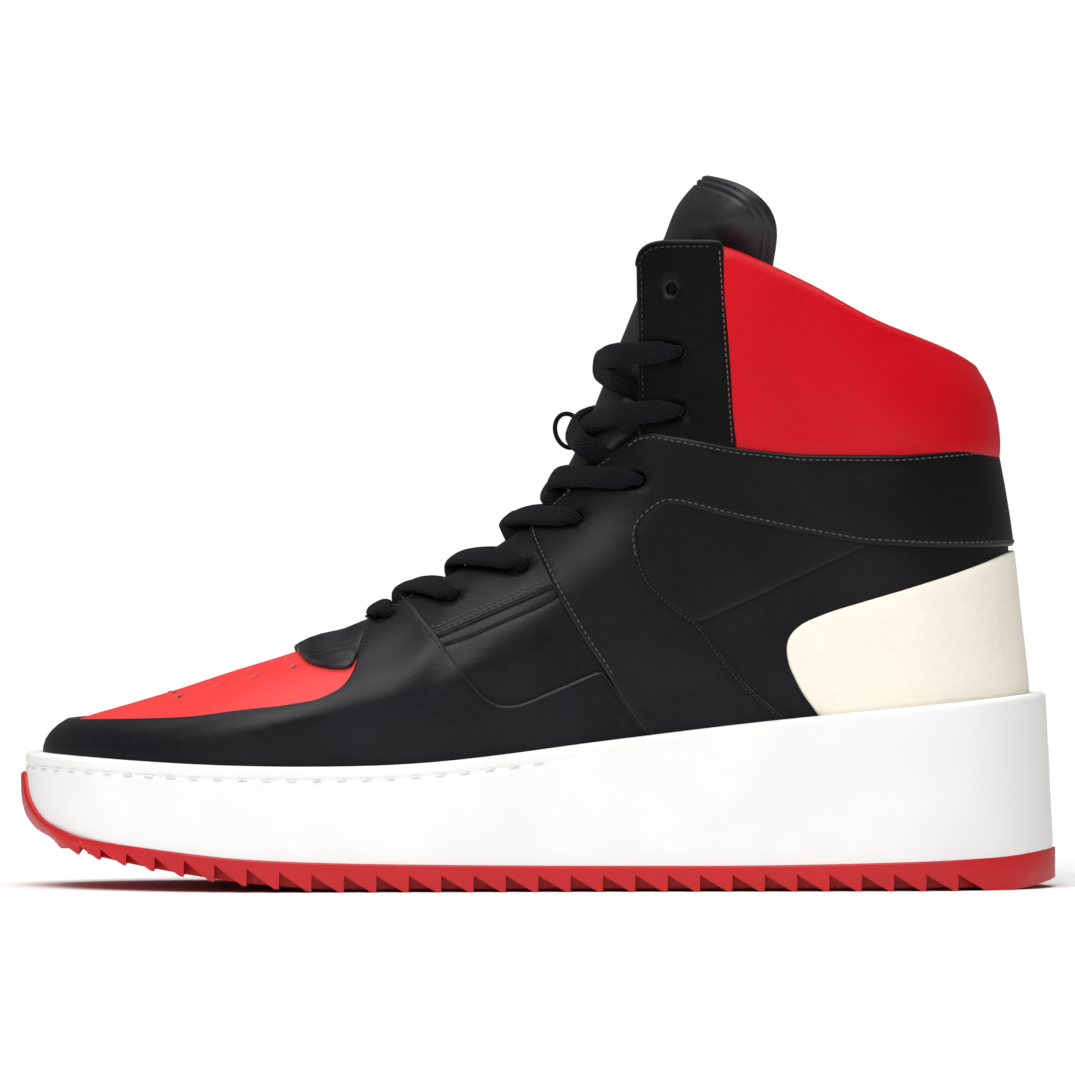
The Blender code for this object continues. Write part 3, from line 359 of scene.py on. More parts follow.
def creases(at):
    """Short folds where the forefoot bends, beside the first eyelets."""
    x, y, z = at.T
    along = (x + 33.0) * 0.62 + (z - 72.0) * 0.78
    across = (x + 33.0) * 0.78 - (z - 72.0) * 0.62
    fade = np.exp(-(along / 13.0) ** 2) * np.exp(-((across - 2.0) / 10.0) ** 2)
    return 0.55 * np.cos(across / 2.4) * fade


def cells(loops, holes, pitch, clear, ridge):
    """Interior points of a panel on an even grid, kept clear of its borders."""
    every = np.concatenate(loops)
    low, high = every.min(0), every.max(0)
    out = []
    z = low[1] + pitch / 2
    row = 0
    while z < high[1]:
        steep = float(np.linalg.norm(slopes_at(np.mean([low[0], high[0]]), z, ridge)[1]))
        z_step = pitch / max(1.0, steep)
        coarse = ring(np.linspace(low[0], high[0], 60), z, ridge)
        n = max(2, int(float(np.linalg.norm(np.diff(coarse, axis=0), axis=1).sum()) / pitch))
        fine = np.linspace(low[0], high[0], 240)
        walked = walk(ring(fine, z, ridge))
        where = (np.arange(n) + 0.5 * (row % 2)) / n * walked[-1]
        out.append(np.stack([np.interp(where, walked, fine), np.full(n, z)], -1))
        z += 0.86 * z_step
        row += 1
    points = np.concatenate(out)
    points = points[within(points, loops[0])]
    at = ring(points[:, 0], points[:, 1], ridge)
    tree = tree_of(ring(every[:, 0], every[:, 1], ridge))
    far = distances(tree, at)
    for hole in holes:
        far[within(points, hole)] = 0.0
    return points[far > clear]


def tree_of(points):
    tree = kdtree.KDTree(len(points))
    for i, p in enumerate(points):
        tree.insert(p, i)
    tree.balance()
    return tree


def distances(tree, points):
    return np.array([tree.find(p)[2] for p in points])


def mesh_piece(name, points, faces, look, slots=None):
    """A mesh object from points in millimetres."""
    mesh = bpy.data.meshes.new(name)
    mesh.from_pydata((np.asarray(points) * MM).tolist(), [], [tuple(int(i) for i in f) for f in faces])
    for one in look if isinstance(look, (list, tuple)) else [look]:
        mesh.materials.append(one)
    if slots is not None:
        mesh.polygons.foreach_set("material_index", np.asarray(slots, np.int32))
    mesh.polygons.foreach_set("use_smooth", [True] * len(mesh.polygons))
    mesh.update()
    obj = bpy.data.objects.new(name, mesh)
    bpy.context.scene.collection.objects.link(obj)
    return obj


def mark(obj, name, values):
    """A number at each vertex for the material to read."""
    layer = obj.data.attributes.new(name, "FLOAT", "POINT")
    layer.data.foreach_set("value", np.asarray(values, np.float32))


def triangulated(rings, inner, loop, holes):
    """Triangles between the loop and its holes: (s, z) points, faces, and each ring point's depth."""
    points, depth, edges = [], [], []
    for points_of, d in rings:
        start, n = sum(map(len, points)), len(points_of)
        points.append(points_of)
        depth += [d] * n
        edges += [(start + k, start + (k + 1) % n) for k in range(n)]
    flat = np.concatenate([*points, inner]) * (SPREAD, 1.0)
    found = geometry.delaunay_2d_cdt([Vector(p) for p in flat], edges, [], 0, 1e-5)
    at = np.array([tuple(v) for v in found[0]]) / (SPREAD, 1.0)
    faces = np.array([f for f in found[2] if len(f) == 3])
    centre = at[faces].mean(1)
    keep = within(centre, loop)
    for hole in holes:
        keep &= ~within(centre, hole)
    faces = faces[keep]
    used = np.unique(faces)
    index = np.full(len(at), -1)
    index[used] = np.arange(len(used))
    known = [[depth[i] for i in found[3][k] if i < len(depth)] for k in used]
    at, faces = at[used], index[faces]
    a, b, c = at[faces[:, 0]], at[faces[:, 1]], at[faces[:, 2]]
    turn = (b[:, 0] - a[:, 0]) * (c[:, 1] - a[:, 1]) - (b[:, 1] - a[:, 1]) * (c[:, 0] - a[:, 0])
    faces = np.where((turn > 0)[:, None], faces, faces[:, ::-1])
    return at, faces, [min(ds) if ds else None for ds in known]


def border_sides(faces):
    """The sides that belong to one triangle only."""
    sides = np.concatenate([faces[:, [0, 1]], faces[:, [1, 2]], faces[:, [2, 0]]])
    _, first, count = np.unique(np.sort(sides, axis=1), axis=0, return_index=True, return_counts=True)
    return sides[first[count == 1]]


def panel(name, look, loop, top, thick, holes=(), pitch=2.2, ridge=RIDGE, shape=None, edge=0.9, sunk=0.5):
    """A closed leather piece with turned-down edges.

    Its face lies `top` over the surface, plus shape(points, distances from the border).
    """
    loop = even(loop, 1.0, ridge)
    rings = [(loop, 0.0), (inward(loop, 0.35 * edge, ridge), 0.35 * edge), (inward(loop, edge, ridge), edge)]
    for hole in holes:
        rings += [(hole, 0.0), (inward(hole, 0.5, ridge, True), 0.5)]
    borders = [loop, *holes]
    inner = cells(borders, holes, pitch, edge + 0.6 * pitch, ridge)
    at, faces, known = triangulated(rings, inner, loop, holes)
    surface = ring(at[:, 0], at[:, 1], ridge)
    every = np.concatenate(borders)
    d = distances(tree_of(ring(every[:, 0], every[:, 1], ridge)), surface)
    for k, depth in enumerate(known):
        if depth is not None:
            d[k] = depth
    height = top - 0.42 * thick * (1 - rounded(d, edge))
    lift = undulation(surface) + creases(surface)
    height = height + lift + (shape(surface, d) if shape else 0.0)
    normal = normal_at(at[:, 0], at[:, 1], ridge)
    outer = surface + height[:, None] * normal
    inside = surface + (top - thick - sunk + lift)[:, None] * normal
    n = len(outer)
    walls = [(i + n, j + n, j, i) for i, j in border_sides(faces)]
    obj = mesh_piece(name, np.concatenate([outer, inside]),
                     [*faces.tolist(), *(faces[:, ::-1] + n).tolist(), *walls], look)
    mark(obj, "rim", np.concatenate([1 - np.clip(d / edge, 0, 1), np.ones(n)]))
    mark(obj, "inset", np.concatenate([d, np.zeros(n)]))
    obj.data.set_sharp_from_angle(angle=math.radians(50))
    return obj


# ---- Stitches ----
# For each thread look, the points and faces of all its stitches.
THREADS = {}


def stitch(look, points, normals, pitch=2.0, length=1.35, radius=0.22):
    """Single stitches along a run of 3-D points, gathered under one look."""
    walked = walk(points)
    where = (np.arange(int(walked[-1] / pitch)) + 0.5) * pitch
    at, ahead = between(where, walked, points), between(where + 0.3, walked, points)
    normal = unit(between(where, walked, normals))
    along = unit(ahead - at + 1e-9)
    across = np.cross(normal, along)
    batch = THREADS.setdefault(look, ([], []))
    for p, n, t, b in zip(at, normal, along, across):
        start = len(batch[0])
        for u, r, sink in ((-0.5, 0.5, -0.35), (-0.3, 1.0, 0.0), (0.3, 1.0, 0.0), (0.5, 0.5, -0.35)):
            centre = p + t * u * length + n * (0.12 + sink * radius)
            batch[0].extend(centre + radius * r * (math.cos(w) * b + math.sin(w) * n)
                            for w in (math.pi * k / 3 for k in range(6)))
        for k in range(3):
            for j in range(6):
                a, c = start + 6 * k + j, start + 6 * k + (j + 1) % 6
                batch[1].append((a, c, c + 6, a + 6))
        batch[1].append(tuple(start + 5 - j for j in range(6)))
        batch[1].append(tuple(start + 18 + j for j in range(6)))


def stitch_border(look, loop, height, inset, keep, ridge=RIDGE, **kind):
    """Stitches round a panel, this far in from its border, where keep(points) is true."""
    run = inward(even(loop, 1.0, ridge), inset, ridge)
    surface = ring(run[:, 0], run[:, 1], ridge)
    normal = normal_at(run[:, 0], run[:, 1], ridge)
    at = surface + (height + undulation(surface) + creases(surface))[:, None] * normal
    good = keep(surface) & (np.linalg.norm(np.roll(at, -1, 0) - at, axis=1) < 4)
    first = int(np.argmin(good))
    at, normal, good = (np.roll(v, -first, 0) for v in (at, normal, good))
    start = None
    for i, ok in enumerate([*good, False]):
        if ok and start is None:
            start = i
        if not ok and start is not None:
            if i - start > 6:
                stitch(look, at[start:i], normal[start:i], **kind)
            start = None


# ---- Sole ----
def tread_height(x):
    toe = 10.4 * np.maximum(0.0, (-59 - x) / 78) ** 1.6
    return toe + 3.2 * np.maximum(0.0, (x - 138) / 18) ** 2


def red_top(x):
    """Where the white cup ends and the red outsole begins, at station x."""
    zs, xs = np.array(BUMPER_BACK, float).T
    toe = np.interp(-x, -xs, zs)
    return np.where(x < -143, toe, through(OUTSOLE_TOP, x))


def grid_border(rows, columns):
    """The indexes round the edge of a grid of points."""
    there = list(range(columns)) + [r * columns + columns - 1 for r in range(1, rows)]
    back = [(rows - 1) * columns + c for c in range(columns - 2, -1, -1)]
    return there + back + [r * columns for r in range(rows - 2, 0, -1)]


def ring_faces(rows, columns, closed=True):
    """Faces of a grid of points whose columns run round."""
    last = columns if closed else columns - 1
    return [(r * columns + c, r * columns + (c + 1) % columns, (r + 1) * columns + (c + 1) % columns,
             (r + 1) * columns + c) for r in range(rows - 1) for c in range(last)]


STITCH_DROP = 4.0


def build_cup(look):
    """The white cup: outer wall, rounded lip and inner wall, swept round the plan."""
    count = 320
    s = np.linspace(0, 2, count, endpoint=False)
    bottom, rim = np.full(count, 20.0), np.full(count, 40.0)
    for _ in range(6):
        bottom = np.minimum(red_top(sole_wall(s, bottom)[:, 0]), 16.8)
        rim = through(RIM_HEIGHT, sole_wall(s, rim)[:, 0])
    lip = 1.5
    rows = []
    for t in np.concatenate([np.linspace(0, 0.7, 12)[:-1], np.linspace(0.7, 1, 22)]):
        z = bottom + (rim - lip - bottom) * t
        at = sole_wall(s, z)[:, 0]
        groove = 0.4 * np.exp(-((z - (rim - STITCH_DROP)) / 0.6) ** 2) * smooth_step((30.0 - at) / 60.0)
        rows.append(sole_wall(s, z, groove + 0.35 * np.exp(-((z - bottom) / 0.5) ** 2)))
    for angle in np.linspace(0, math.pi / 2, 7)[1:]:
        rows.append(sole_wall(s, rim - lip + lip * math.sin(angle), lip * (1 - math.cos(angle))))
    for angle in np.linspace(math.pi / 2, 0, 5):
        rows.append(sole_wall(s, rim - 1.0 + 1.0 * math.sin(angle), CUP_WALL - 1.0 * (1 - math.cos(angle))))
    for t in (0.2, 0.5, 1.0):
        rows.append(sole_wall(s, (rim - 1.5) * (1 - t) + (bottom + 4.0) * t, CUP_WALL + 0 * rim))
    rows.append(sole_wall(s, bottom + 4.0, 30.0 + 0 * rim))
    rows.append(sole_wall(s, bottom + 0.6, 30.0 + 0 * rim))
    rows.append(rows[0])
    grid = np.concatenate(rows[:-1])
    faces = ring_faces(len(rows) - 1, count)
    last = (len(rows) - 2) * count
    faces += [(last + c, last + (c + 1) % count, (c + 1) % count, c) for c in range(count)]
    obj = mesh_piece("cup", grid, faces, look)
    obj.data.set_sharp_from_angle(angle=math.radians(40))
    return obj


TOE_TEETH = [-107.0, -115.7, -124.1, -131.7, -138.0, -143.4]
TOE_CURVE = [(-147.0, 16.4), (-143.4, 14.2), (-138.0, 10.6)]


def tread_stations():
    """(x, z) of the tread from the heel forward."""
    points = [(x, float(tread_height(x))) for x in (155.4, 154.8, 153.6, 151.0, 147.0, 142.0, 138.0)]
    rear = TREAD_REAR + TOOTH_PITCH
    tips = [rear - k * TOOTH_PITCH for k in range(TOOTH_COUNT)] + TOE_TEETH
    for x, ahead in zip(tips, tips[1:]):
        shrink = 1.0 if x > -95 else max(0.45, 1 - (-95 - x) / 75)
        top = ahead + TOOTH_FLAT * shrink
        slope = [(x + (top - x) * t, float(tread_height(x + (top - x) * t)) + TOOTH_DEPTH * shrink * t)
                 for t in (0.0, 0.03, 0.5, 0.97, 1.0)]
        points += slope + [(top - 0.03, float(tread_height(top)) + 0.2),
                           (top - 0.2, float(tread_height(top)))]
    return [(x, z if x > -138.0 else max(z, float(np.interp(x, *zip(*TOE_CURVE))))) for x, z in points]


def build_outsole(name, look, stations, narrower):
    """Red rubber from the cup down to the (x, z) stations, `narrower` than the sole on each side."""
    rows = []
    for x, low in stations:
        high = float(red_top(np.array(x)))
        low = min(low, high - 0.4)
        profile = []
        for z, pull in ((high, 0.3), (high - 0.5, 0.0), ((high + low) / 2, 0.0), (low + 0.35, 0.0),
                        (low, 0.35)):
            draft = min(max(z, 0.0), DRAFT_HEIGHT) / DRAFT_HEIGHT
            front, rear = TOE_EDGE, HEEL_X - HEEL_DRAFT * draft
            half = float(through(SOLE_HALF, x)) - SIDE_DRAFT * draft
            half = half * float(rounded(x - front, TOE_ROUND) * rounded(rear - x, HEEL_ROUND)) - narrower
            profile.append((max(half - pull, 0.02), z))
        centre = float(through(CENTRE_LINE, x))
        rows.append([(x, centre - h, z) for h, z in profile] + [(x, centre + h, z) for h, z in profile[::-1]])
    n = len(rows[0])
    points = [p for row in rows for p in row]
    faces = [(r * n + c, (r + 1) * n + c, (r + 1) * n + (c + 1) % n, r * n + (c + 1) % n)
             for r in range(len(rows) - 1) for c in range(n)]
    faces += [tuple(range(n)), tuple(range((len(rows) - 1) * n + n - 1, (len(rows) - 1) * n - 1, -1))]
    obj = mesh_piece(name, points, faces, look)
    obj.data.set_sharp_from_angle(angle=math.radians(28))
    return obj


def build_bumper(look):
    """The tongue of red rubber that turns up over the toe."""
    side = [(0.0, 34.4), *on_ring([(x - 0.3, z) for z, x in BUMPER_BACK[::-1]], SOLE_WALL), *on_ring(
        [(-140.0, 15.8), (-136.0, 14.8), (-137.0, 12.4)], SOLE_WALL), (0.0, 12.0)]
    outer = np.array([(s, z) for s, z in side])
    outer = eased(dense(outer * (SPREAD, 1), 0.8), 6) / (SPREAD, 1)
    return panel("toe_bumper", look, about_toe(outer), 1.5, 2.2, pitch=2.0, ridge=SOLE_WALL, edge=1.5,
                 shape=lambda at, d: -undulation(at) - creases(at))


BOARD_INSET = UPPER_INSET + LEATHER + 1.0 + 1.2 + 3 * GAP + 1.8


def build_insole(look):
    """The loose insole: a thin slab with a raised edge at the heel."""
    inset = BOARD_INSET + 1.5
    front, rear = TOE_X + inset + TOE_WALL - CUP_WALL, HEEL_X - HEEL_DRAFT * 0.75 - inset
    across = np.sin(np.linspace(-math.pi / 2, math.pi / 2, 41))
    x = front + (rear - front) * (1 - np.cos(np.linspace(0.02, math.pi - 0.02, 121))) / 2
    half = (through(SOLE_HALF, x) - inset - 1.5) * rounded(x - front, TOE_ROUND - inset) * rounded(
        rear - x, HEEL_ROUND - inset)
    centre = through(CENTRE_LINE, x)
    low = through(LAST_BOTTOM, x) + 2.35
    grid_x = np.repeat(x, 41).reshape(-1, 41)
    grid_y = centre[:, None] + half[:, None] * across[None]
    from_edge = np.minimum(half[:, None] * (1 - np.abs(across))[None],
                           np.minimum(x - front, rear - x)[:, None] * 0.7)
    dish = 0.9 * smooth_step(1 - from_edge / 12.0) * smooth_step((x + 60) / 120.0)[:, None]
    top = low[:, None] + 1.2 + 2.9 * rounded(from_edge, 2.2) + dish
    under = low[:, None] + 0.9 * (1 - rounded(from_edge, 1.0))
    points = [np.stack([grid_x, grid_y, z], -1).reshape(-1, 3) for z in (top, under)]
    rows, columns = grid_x.shape
    faces = [(a, a + columns, a + columns + 1, a + 1) for r in range(rows - 1) for c in range(columns - 1)
             for a in [r * columns + c]]
    size = rows * columns
    faces += [tuple(i + size for i in f[::-1]) for f in faces]
    border = grid_border(rows, columns)
    faces += [(a, b, b + size, a + size) for a, b in zip(border, border[1:] + border[:1])]
    return mesh_piece("insole_pad", np.concatenate(points), faces, look)


# ---- Collar ----
COLLAR_EDGE = [(40, 189.0), (50, 190.8), (55, 192.6), (66.5, 188.6), (84.5, 180.3), (102.5, 171.2),
               (120.5, 164.3), (126, 161.6), (131, 158.0), (140, 152.5)]
COLLAR_FRONT = 52.0
COLLAR_IN = -7.0


def build_collar(looks):
    """The padded collar: red leather outside and over the top, knitted lining inside."""
    columns = 181
    u = np.linspace(0, 1, columns)
    start = s_at(COLLAR_FRONT, 160.0)
    s0 = start + (2 - 2 * start) * u
    x0 = ring(s0, 165.0)[:, 0]
    top = through(COLLAR_EDGE, x0)
    top = through(COLLAR_EDGE, ring(s0, np.minimum(top - 5, 190.0))[:, 0])
    ends = np.minimum(u, 1 - u) * 230.0
    crown = (2.6 + 0.9 * smooth_step((x0 - 112.0) / 16.0)) * (1 - np.exp(-ends / 7.0))
    inside_crown = crown * smooth_step((x0 - 100.0) / 25.0)
    bottom, inside = 126.0, 117.0
    rows = []
    outer_rows, roll_rows, inner_rows = 30, 16, 22
    roll = (0.4 + crown * 0.55 - COLLAR_IN) / 2
    for k in range(outer_rows):
        t = k / (outer_rows - 1)
        z = bottom + (top - roll - bottom) * t
        puff = crown * np.sin(math.pi * (0.04 + 0.82 * t)) ** 0.7
        crease = 0.35 * np.sin(x0 / 6.5 + 2.0) * np.exp(-((z - 133.0) / 4.5) ** 2)
        rows.append(skin(s0, z, -0.2 + puff + crease))
    edge_offset = -0.2 + crown * math.sin(math.pi * 0.86) ** 0.7
    middle, radius = (edge_offset + COLLAR_IN) / 2, (edge_offset - COLLAR_IN) / 2
    for k in range(1, roll_rows):
        angle = math.pi * k / roll_rows
        rows.append(skin(s0, top - roll + roll * math.sin(angle), middle + radius * math.cos(angle)))
    for k in range(inner_rows):
        t = k / (inner_rows - 1)
        z = top - roll + (inside - top + roll) * t
        rows.append(skin(s0, z, COLLAR_IN - 0.7 * inside_crown * np.sin(math.pi * t) ** 0.7 + 0 * z))
    grid = np.concatenate(rows)
    total = len(rows)
    faces = ring_faces(total, columns, False)
    slots = [0 if f[0] // columns < outer_rows + roll_rows - 3 else 1 for f in faces]
    last = (total - 1) * columns
    faces += [(last + c, last + c + 1, c + 1, c) for c in range(columns - 1)]
    slots += [1] * (columns - 1)
    faces += [tuple(r * columns for r in range(total - 1, -1, -1)),
              tuple(r * columns + columns - 1 for r in range(total))]
    slots += [0, 0]
    obj = mesh_piece("collar_pad", grid, faces, [looks["red_leather"], looks["lining"]], slots=slots)
    mark(obj, "rim", np.zeros(len(grid)))
    mark(obj, "inset", np.full(len(grid), 9.0))
    return obj


# ---- Tongue ----
TONGUE_BASE, TONGUE_TOP, TONGUE_SIDE_TOP = 77.6, 214.6, 184.0
TONGUE_ARC = [(72, 15.0), (90, 23.0), (110, 31.0), (135, 43.0), (160, 50.0), (184, 56.5), (216, 60.0)]
TONGUE_CROWN, TONGUE_RECESS, RECESS_WIDTH = -2.2, -8.9, 8.0
TONGUE_THICK = 6.4


def tongue_middle(across):
    """1 over the middle of the tongue, falling to 0.1 at its side edges, which stay clear of the collar."""
    return 1 - 0.9 * smooth_step((np.abs(across) - 0.5) / 0.45)


def tongue_centre(along, across):
    """(s, z, offset) of the tongue's face, along from the vamp to the top and across from -1 to 1."""
    drop = TONGUE_TOP - TONGUE_SIDE_TOP
    top = TONGUE_TOP + 0.8 - drop * (0.42 * np.abs(across) ** 2 + 0.6 * np.abs(across) ** 5)
    z = TONGUE_BASE + (top - TONGUE_BASE) * along
    arc = np.abs(across) * through(TONGUE_ARC, z)
    s = np.array([s_at_arcs(a, h, TONGUE_RIDGE) for a, h in zip(arc, z)]) * np.sign(across)
    start = through(THROAT_ARCS, z) - RECESS_WIDTH
    sunk = TONGUE_CROWN + (TONGUE_RECESS - TONGUE_CROWN) * smooth_step((arc - start) / RECESS_WIDTH)
    free = smooth_step((z - 188.0) / 14.0) * tongue_middle(across)
    return s, z, sunk + (TONGUE_CROWN - sunk) * free


def build_tongue(looks):
    """The padded tongue as one closed cushion with a bound, double-seamed edge."""
    ladder = np.concatenate([np.linspace(0, 0.9, 72)[:-1], np.linspace(0.9, 1, 34)])
    half = np.concatenate([np.linspace(0, 0.8, 28)[:-1], np.linspace(0.8, 1, 30)])
    spread = np.concatenate([-half[:0:-1], half])
    rows, columns = len(ladder), len(spread)
    along, across = np.repeat(ladder, columns), np.tile(spread, rows)
    s, z, offset = tongue_centre(along, across)
    face = skin(s, z, offset, TONGUE_RIDGE)
    normal = normal_at(s, z, TONGUE_RIDGE)
    size = rows * columns
    border = [r * columns for r in range(rows)] + [(rows - 1) * columns + c for c in range(1, columns)]
    border += [r * columns + columns - 1 for r in range(rows - 2, -1, -1)]
    line = face[border]
    dense_line = np.concatenate([line[:-1] + (line[1:] - line[:-1]) * t for t in (0, 0.25, 0.5, 0.75)])
    tree = tree_of(dense_line)
    d = distances(tree, face)
    seams = 0.8 * np.exp(-((d - 2.6) / 0.36) ** 2) + 0.8 * np.exp(-((d - 4.7) / 0.36) ** 2)
    band = 0.25 * np.sin(math.pi * np.clip(d / 2.6, 0, 1)) + 0.2 * np.sin(math.pi * np.clip((d - 2.6) / 2.1,
                                                                                            0, 1))
    band = band + 2.4 * (1 - np.exp(-np.maximum(d - 4.7, 0) / 10.0))
    lower = smooth_step((z - 88.0) / 14.0)
    puff = (band - seams) * lower
    drape = 0.35 * np.sin(z / 6.0) * np.exp(-((z - 128.0) / 22.0) ** 2)
    free = 2.0 * smooth_step((z - 192.0) / 14.0) * tongue_middle(across)
    outer = -3.0 * (1 - rounded(d, 4.2)) + 0.6 * puff + drape - 0.4 + free
    inner = -(1.9 + (TONGUE_THICK - 1.9) * (1 - np.exp(-d / 5.0)) * np.where(lower < 1, 0.35 + 0.65 * lower,
                                                                             1.0))
    inner = np.minimum(inner + free * 0.7, outer - 0.4) + 0.9 * (1 - rounded(d, 1.6))
    points = np.concatenate([face + outer[:, None] * normal, face + inner[:, None] * normal])
    faces = [(a, a + 1, a + columns + 1, a + columns) for r in range(rows - 1) for c in range(columns - 1)
             for a in [r * columns + c]]
    slots = [0] * len(faces)
    back = [tuple(i + size for i in f[::-1]) for f in faces]
    slots += [0 if d[f[0] - size] < 6.5 else 1 for f in back]
    faces += back
    edge = grid_border(rows, columns)
    faces += [(b, a, a + size, b + size) for a, b in zip(edge, edge[1:] + edge[:1])]
    slots += [0] * len(edge)
    obj = mesh_piece("tongue_pad", points, faces, [looks["tongue_leather"], looks["lining"]], slots=slots)
    mark(obj, "rim", np.zeros(len(points)))
    mark(obj, "inset", np.tile(d, 2))
    return obj


# ---- Materials ----
class Look:
    """A procedural material being put together."""

    def __init__(self, name):
        self.material = bpy.data.materials.new(name)
        self.material.use_nodes = True
        self.tree = self.material.node_tree
        self.shader = self.tree.nodes["Principled BSDF"]
        self.place = self.node("ShaderNodeTexCoord").outputs["Object"]
        self.height = None

    def node(self, kind, inputs=(), **settings):
        node = self.tree.nodes.new(kind)
        for key, value in settings.items():
            setattr(node, key, value)
        for key, value in dict(inputs).items():
            if isinstance(value, bpy.types.NodeSocket):
                self.tree.links.new(value, node.inputs[key])
            else:
                node.inputs[key].default_value = value
        return node

    def noise(self, per_mm, detail=2.0, rough=0.5):
        return self.node("ShaderNodeTexNoise", {"Vector": self.place, "Scale": per_mm * 1000,
                                                "Detail": detail, "Roughness": rough}).outputs["Fac"]

    def pebble(self, per_mm):
        cells_of = self.node("ShaderNodeTexVoronoi", {"Vector": self.place, "Scale": per_mm * 1000})
        return cells_of.outputs["Distance"]

    def number(self, name):
        return self.node("ShaderNodeAttribute", attribute_name=name).outputs["Fac"]

    def math(self, operation, a, b=0.0):
        return self.node("ShaderNodeMath", {0: a, 1: b}, operation=operation).outputs[0]

    def span(self, value, low, high, to_low, to_high):
        return self.node("ShaderNodeMapRange", {"Value": value, "From Min": low, "From Max": high,
                                                "To Min": to_low, "To Max": to_high}).outputs["Result"]

    def mix(self, fac, a, b):
        node = self.node("ShaderNodeMix", {0: fac}, data_type="RGBA")
        for socket, value in ((node.inputs[6], a), (node.inputs[7], b)):
            if isinstance(value, bpy.types.NodeSocket):
                self.tree.links.new(value, socket)
            else:
                socket.default_value = (*value, 1.0)
        return node.outputs[2]

    def bump(self, height, strength, depth_mm):
        settings = {"Height": height, "Strength": strength, "Distance": depth_mm * MM}
        if self.height is not None:
            settings["Normal"] = self.height
        self.height = self.node("ShaderNodeBump", settings).outputs["Normal"]

    def done(self, color, roughness, **sockets):
        self.tree.links.new(color, self.shader.inputs["Base Color"])
        self.tree.links.new(roughness, self.shader.inputs["Roughness"])
        if self.height is not None:
            self.tree.links.new(self.height, self.shader.inputs["Normal"])
        for name, value in sockets.items():
            self.shader.inputs[name.replace("_", " ")].default_value = value
        return self.material


def scaled(color, k):
    return tuple(min(1.0, c * k) for c in color)


def leather(name, color, edge_color, rough=(0.36, 0.5), vary=0.16, grain=0.32, gloss=0.5, painted_shade_up=1.0):
    """Grained leather with a rubbed edge. Its last argument, when under 1, paints shade on it: the colour
    darkens up the shoe.
    """
    look = Look(name)
    slow, fine = look.noise(0.035, 3.0), look.noise(0.6, 3.0)
    rubbed = look.mix(look.span(slow, 0.3, 0.7, 0, 1), scaled(color, 1 - vary), scaled(color, 1 + vary))
    speckle = look.mix(look.span(fine, 0.35, 0.75, 0, 0.5), rubbed, scaled(color, 1 + 2.5 * vary))
    edge = look.span(look.number("rim"), 0.35, 0.95, 0, 1)
    worn = look.math("MULTIPLY", edge, look.span(look.noise(0.25), 0.3, 0.7, 0.45, 1.0))
    tone = look.mix(worn, speckle, edge_color)
    # Painted shade: from 60 mm up to 115 mm high the colour is blended into a darker copy of itself.
    if painted_shade_up < 1:
        height = look.node("ShaderNodeSeparateXYZ", {0: look.place}).outputs[2]
        tone = look.mix(look.span(height, 0.06, 0.115, 0, 1), tone, scaled(color, painted_shade_up))
    look.bump(look.pebble(1.15), grain, 0.05)
    look.bump(look.noise(2.6, 3.0), grain * 0.6, 0.03)
    look.bump(look.noise(0.12, 2.0), 0.35, 0.35)
    polish = look.span(look.math("ADD", slow, look.math("MULTIPLY", fine, 0.5)), 0.45, 1.05, *rough)
    return look.done(tone, polish, Specular_IOR_Level=gloss)


def rubber(name, color, rough=(0.42, 0.52), dirt=(0.8, 0.8, 0.78), vary=0.03):
    look = Look(name)
    slow = look.noise(0.03, 3.0)
    tone = look.mix(look.span(slow, 0.3, 0.7, 0, 1), scaled(color, 1 - vary), scaled(color, 1 + vary))
    specks = look.span(look.noise(1.4, 4.0), 0.66, 0.8, 0, 0.35)
    tone = look.mix(specks, tone, dirt)
    look.bump(look.noise(3.0, 2.0), 0.12, 0.03)
    look.bump(look.noise(0.07, 2.0), 0.25, 0.3)
    return look.done(tone, look.span(look.noise(0.4), 0.3, 0.7, *rough), Specular_IOR_Level=0.45)


def knit(name, color, per_mm=0.9):
    look = Look(name)
    split = look.node("ShaderNodeSeparateXYZ", {0: look.place}).outputs
    turn = per_mm * 1000 * 2 * math.pi
    rise = look.math("SINE", look.math("MULTIPLY", split[2], turn))
    side = look.math("SINE", look.math("MULTIPLY", look.math("ADD", split[0], split[1]), turn))
    loops = look.math("MULTIPLY", rise, side)
    tone = look.mix(look.span(loops, -1, 1, 0, 1), scaled(color, 0.6), scaled(color, 1.7))
    look.bump(loops, 0.5, 0.18)
    look.bump(look.noise(3.0), 0.3, 0.1)
    return look.done(tone, look.span(look.noise(0.5), 0.3, 0.7, 0.8, 0.95), Sheen_Weight=0.35,
                     Sheen_Roughness=0.5)


def woven(name, color):
    """A braid that runs along each lace, from its own "along" and "across" numbers in millimetres."""
    look = Look(name)
    along, across = look.number("along"), look.number("across")
    left = look.math("SINE", look.math("MULTIPLY", look.math("ADD", along, across), 5.2))
    right = look.math("SINE", look.math("MULTIPLY", look.math("SUBTRACT", along, across), 5.2))
    braid = look.math("MAXIMUM", left, right)
    tone = look.mix(look.span(braid, -0.4, 1, 0, 1), scaled(color, 0.35), scaled(color, 1.5))
    fuzz = look.span(look.noise(2.2, 4.0), 0.5, 0.8, 0, 0.4)
    tone = look.mix(fuzz, tone, scaled(color, 2.4))
    look.bump(braid, 0.75, 0.22)
    look.bump(look.noise(4.0, 3.0), 0.35, 0.08)
    return look.done(tone, look.span(look.noise(1.0), 0.3, 0.7, 0.8, 0.95), Sheen_Weight=0.02,
                     Sheen_Roughness=0.45, Specular_IOR_Level=0.12)


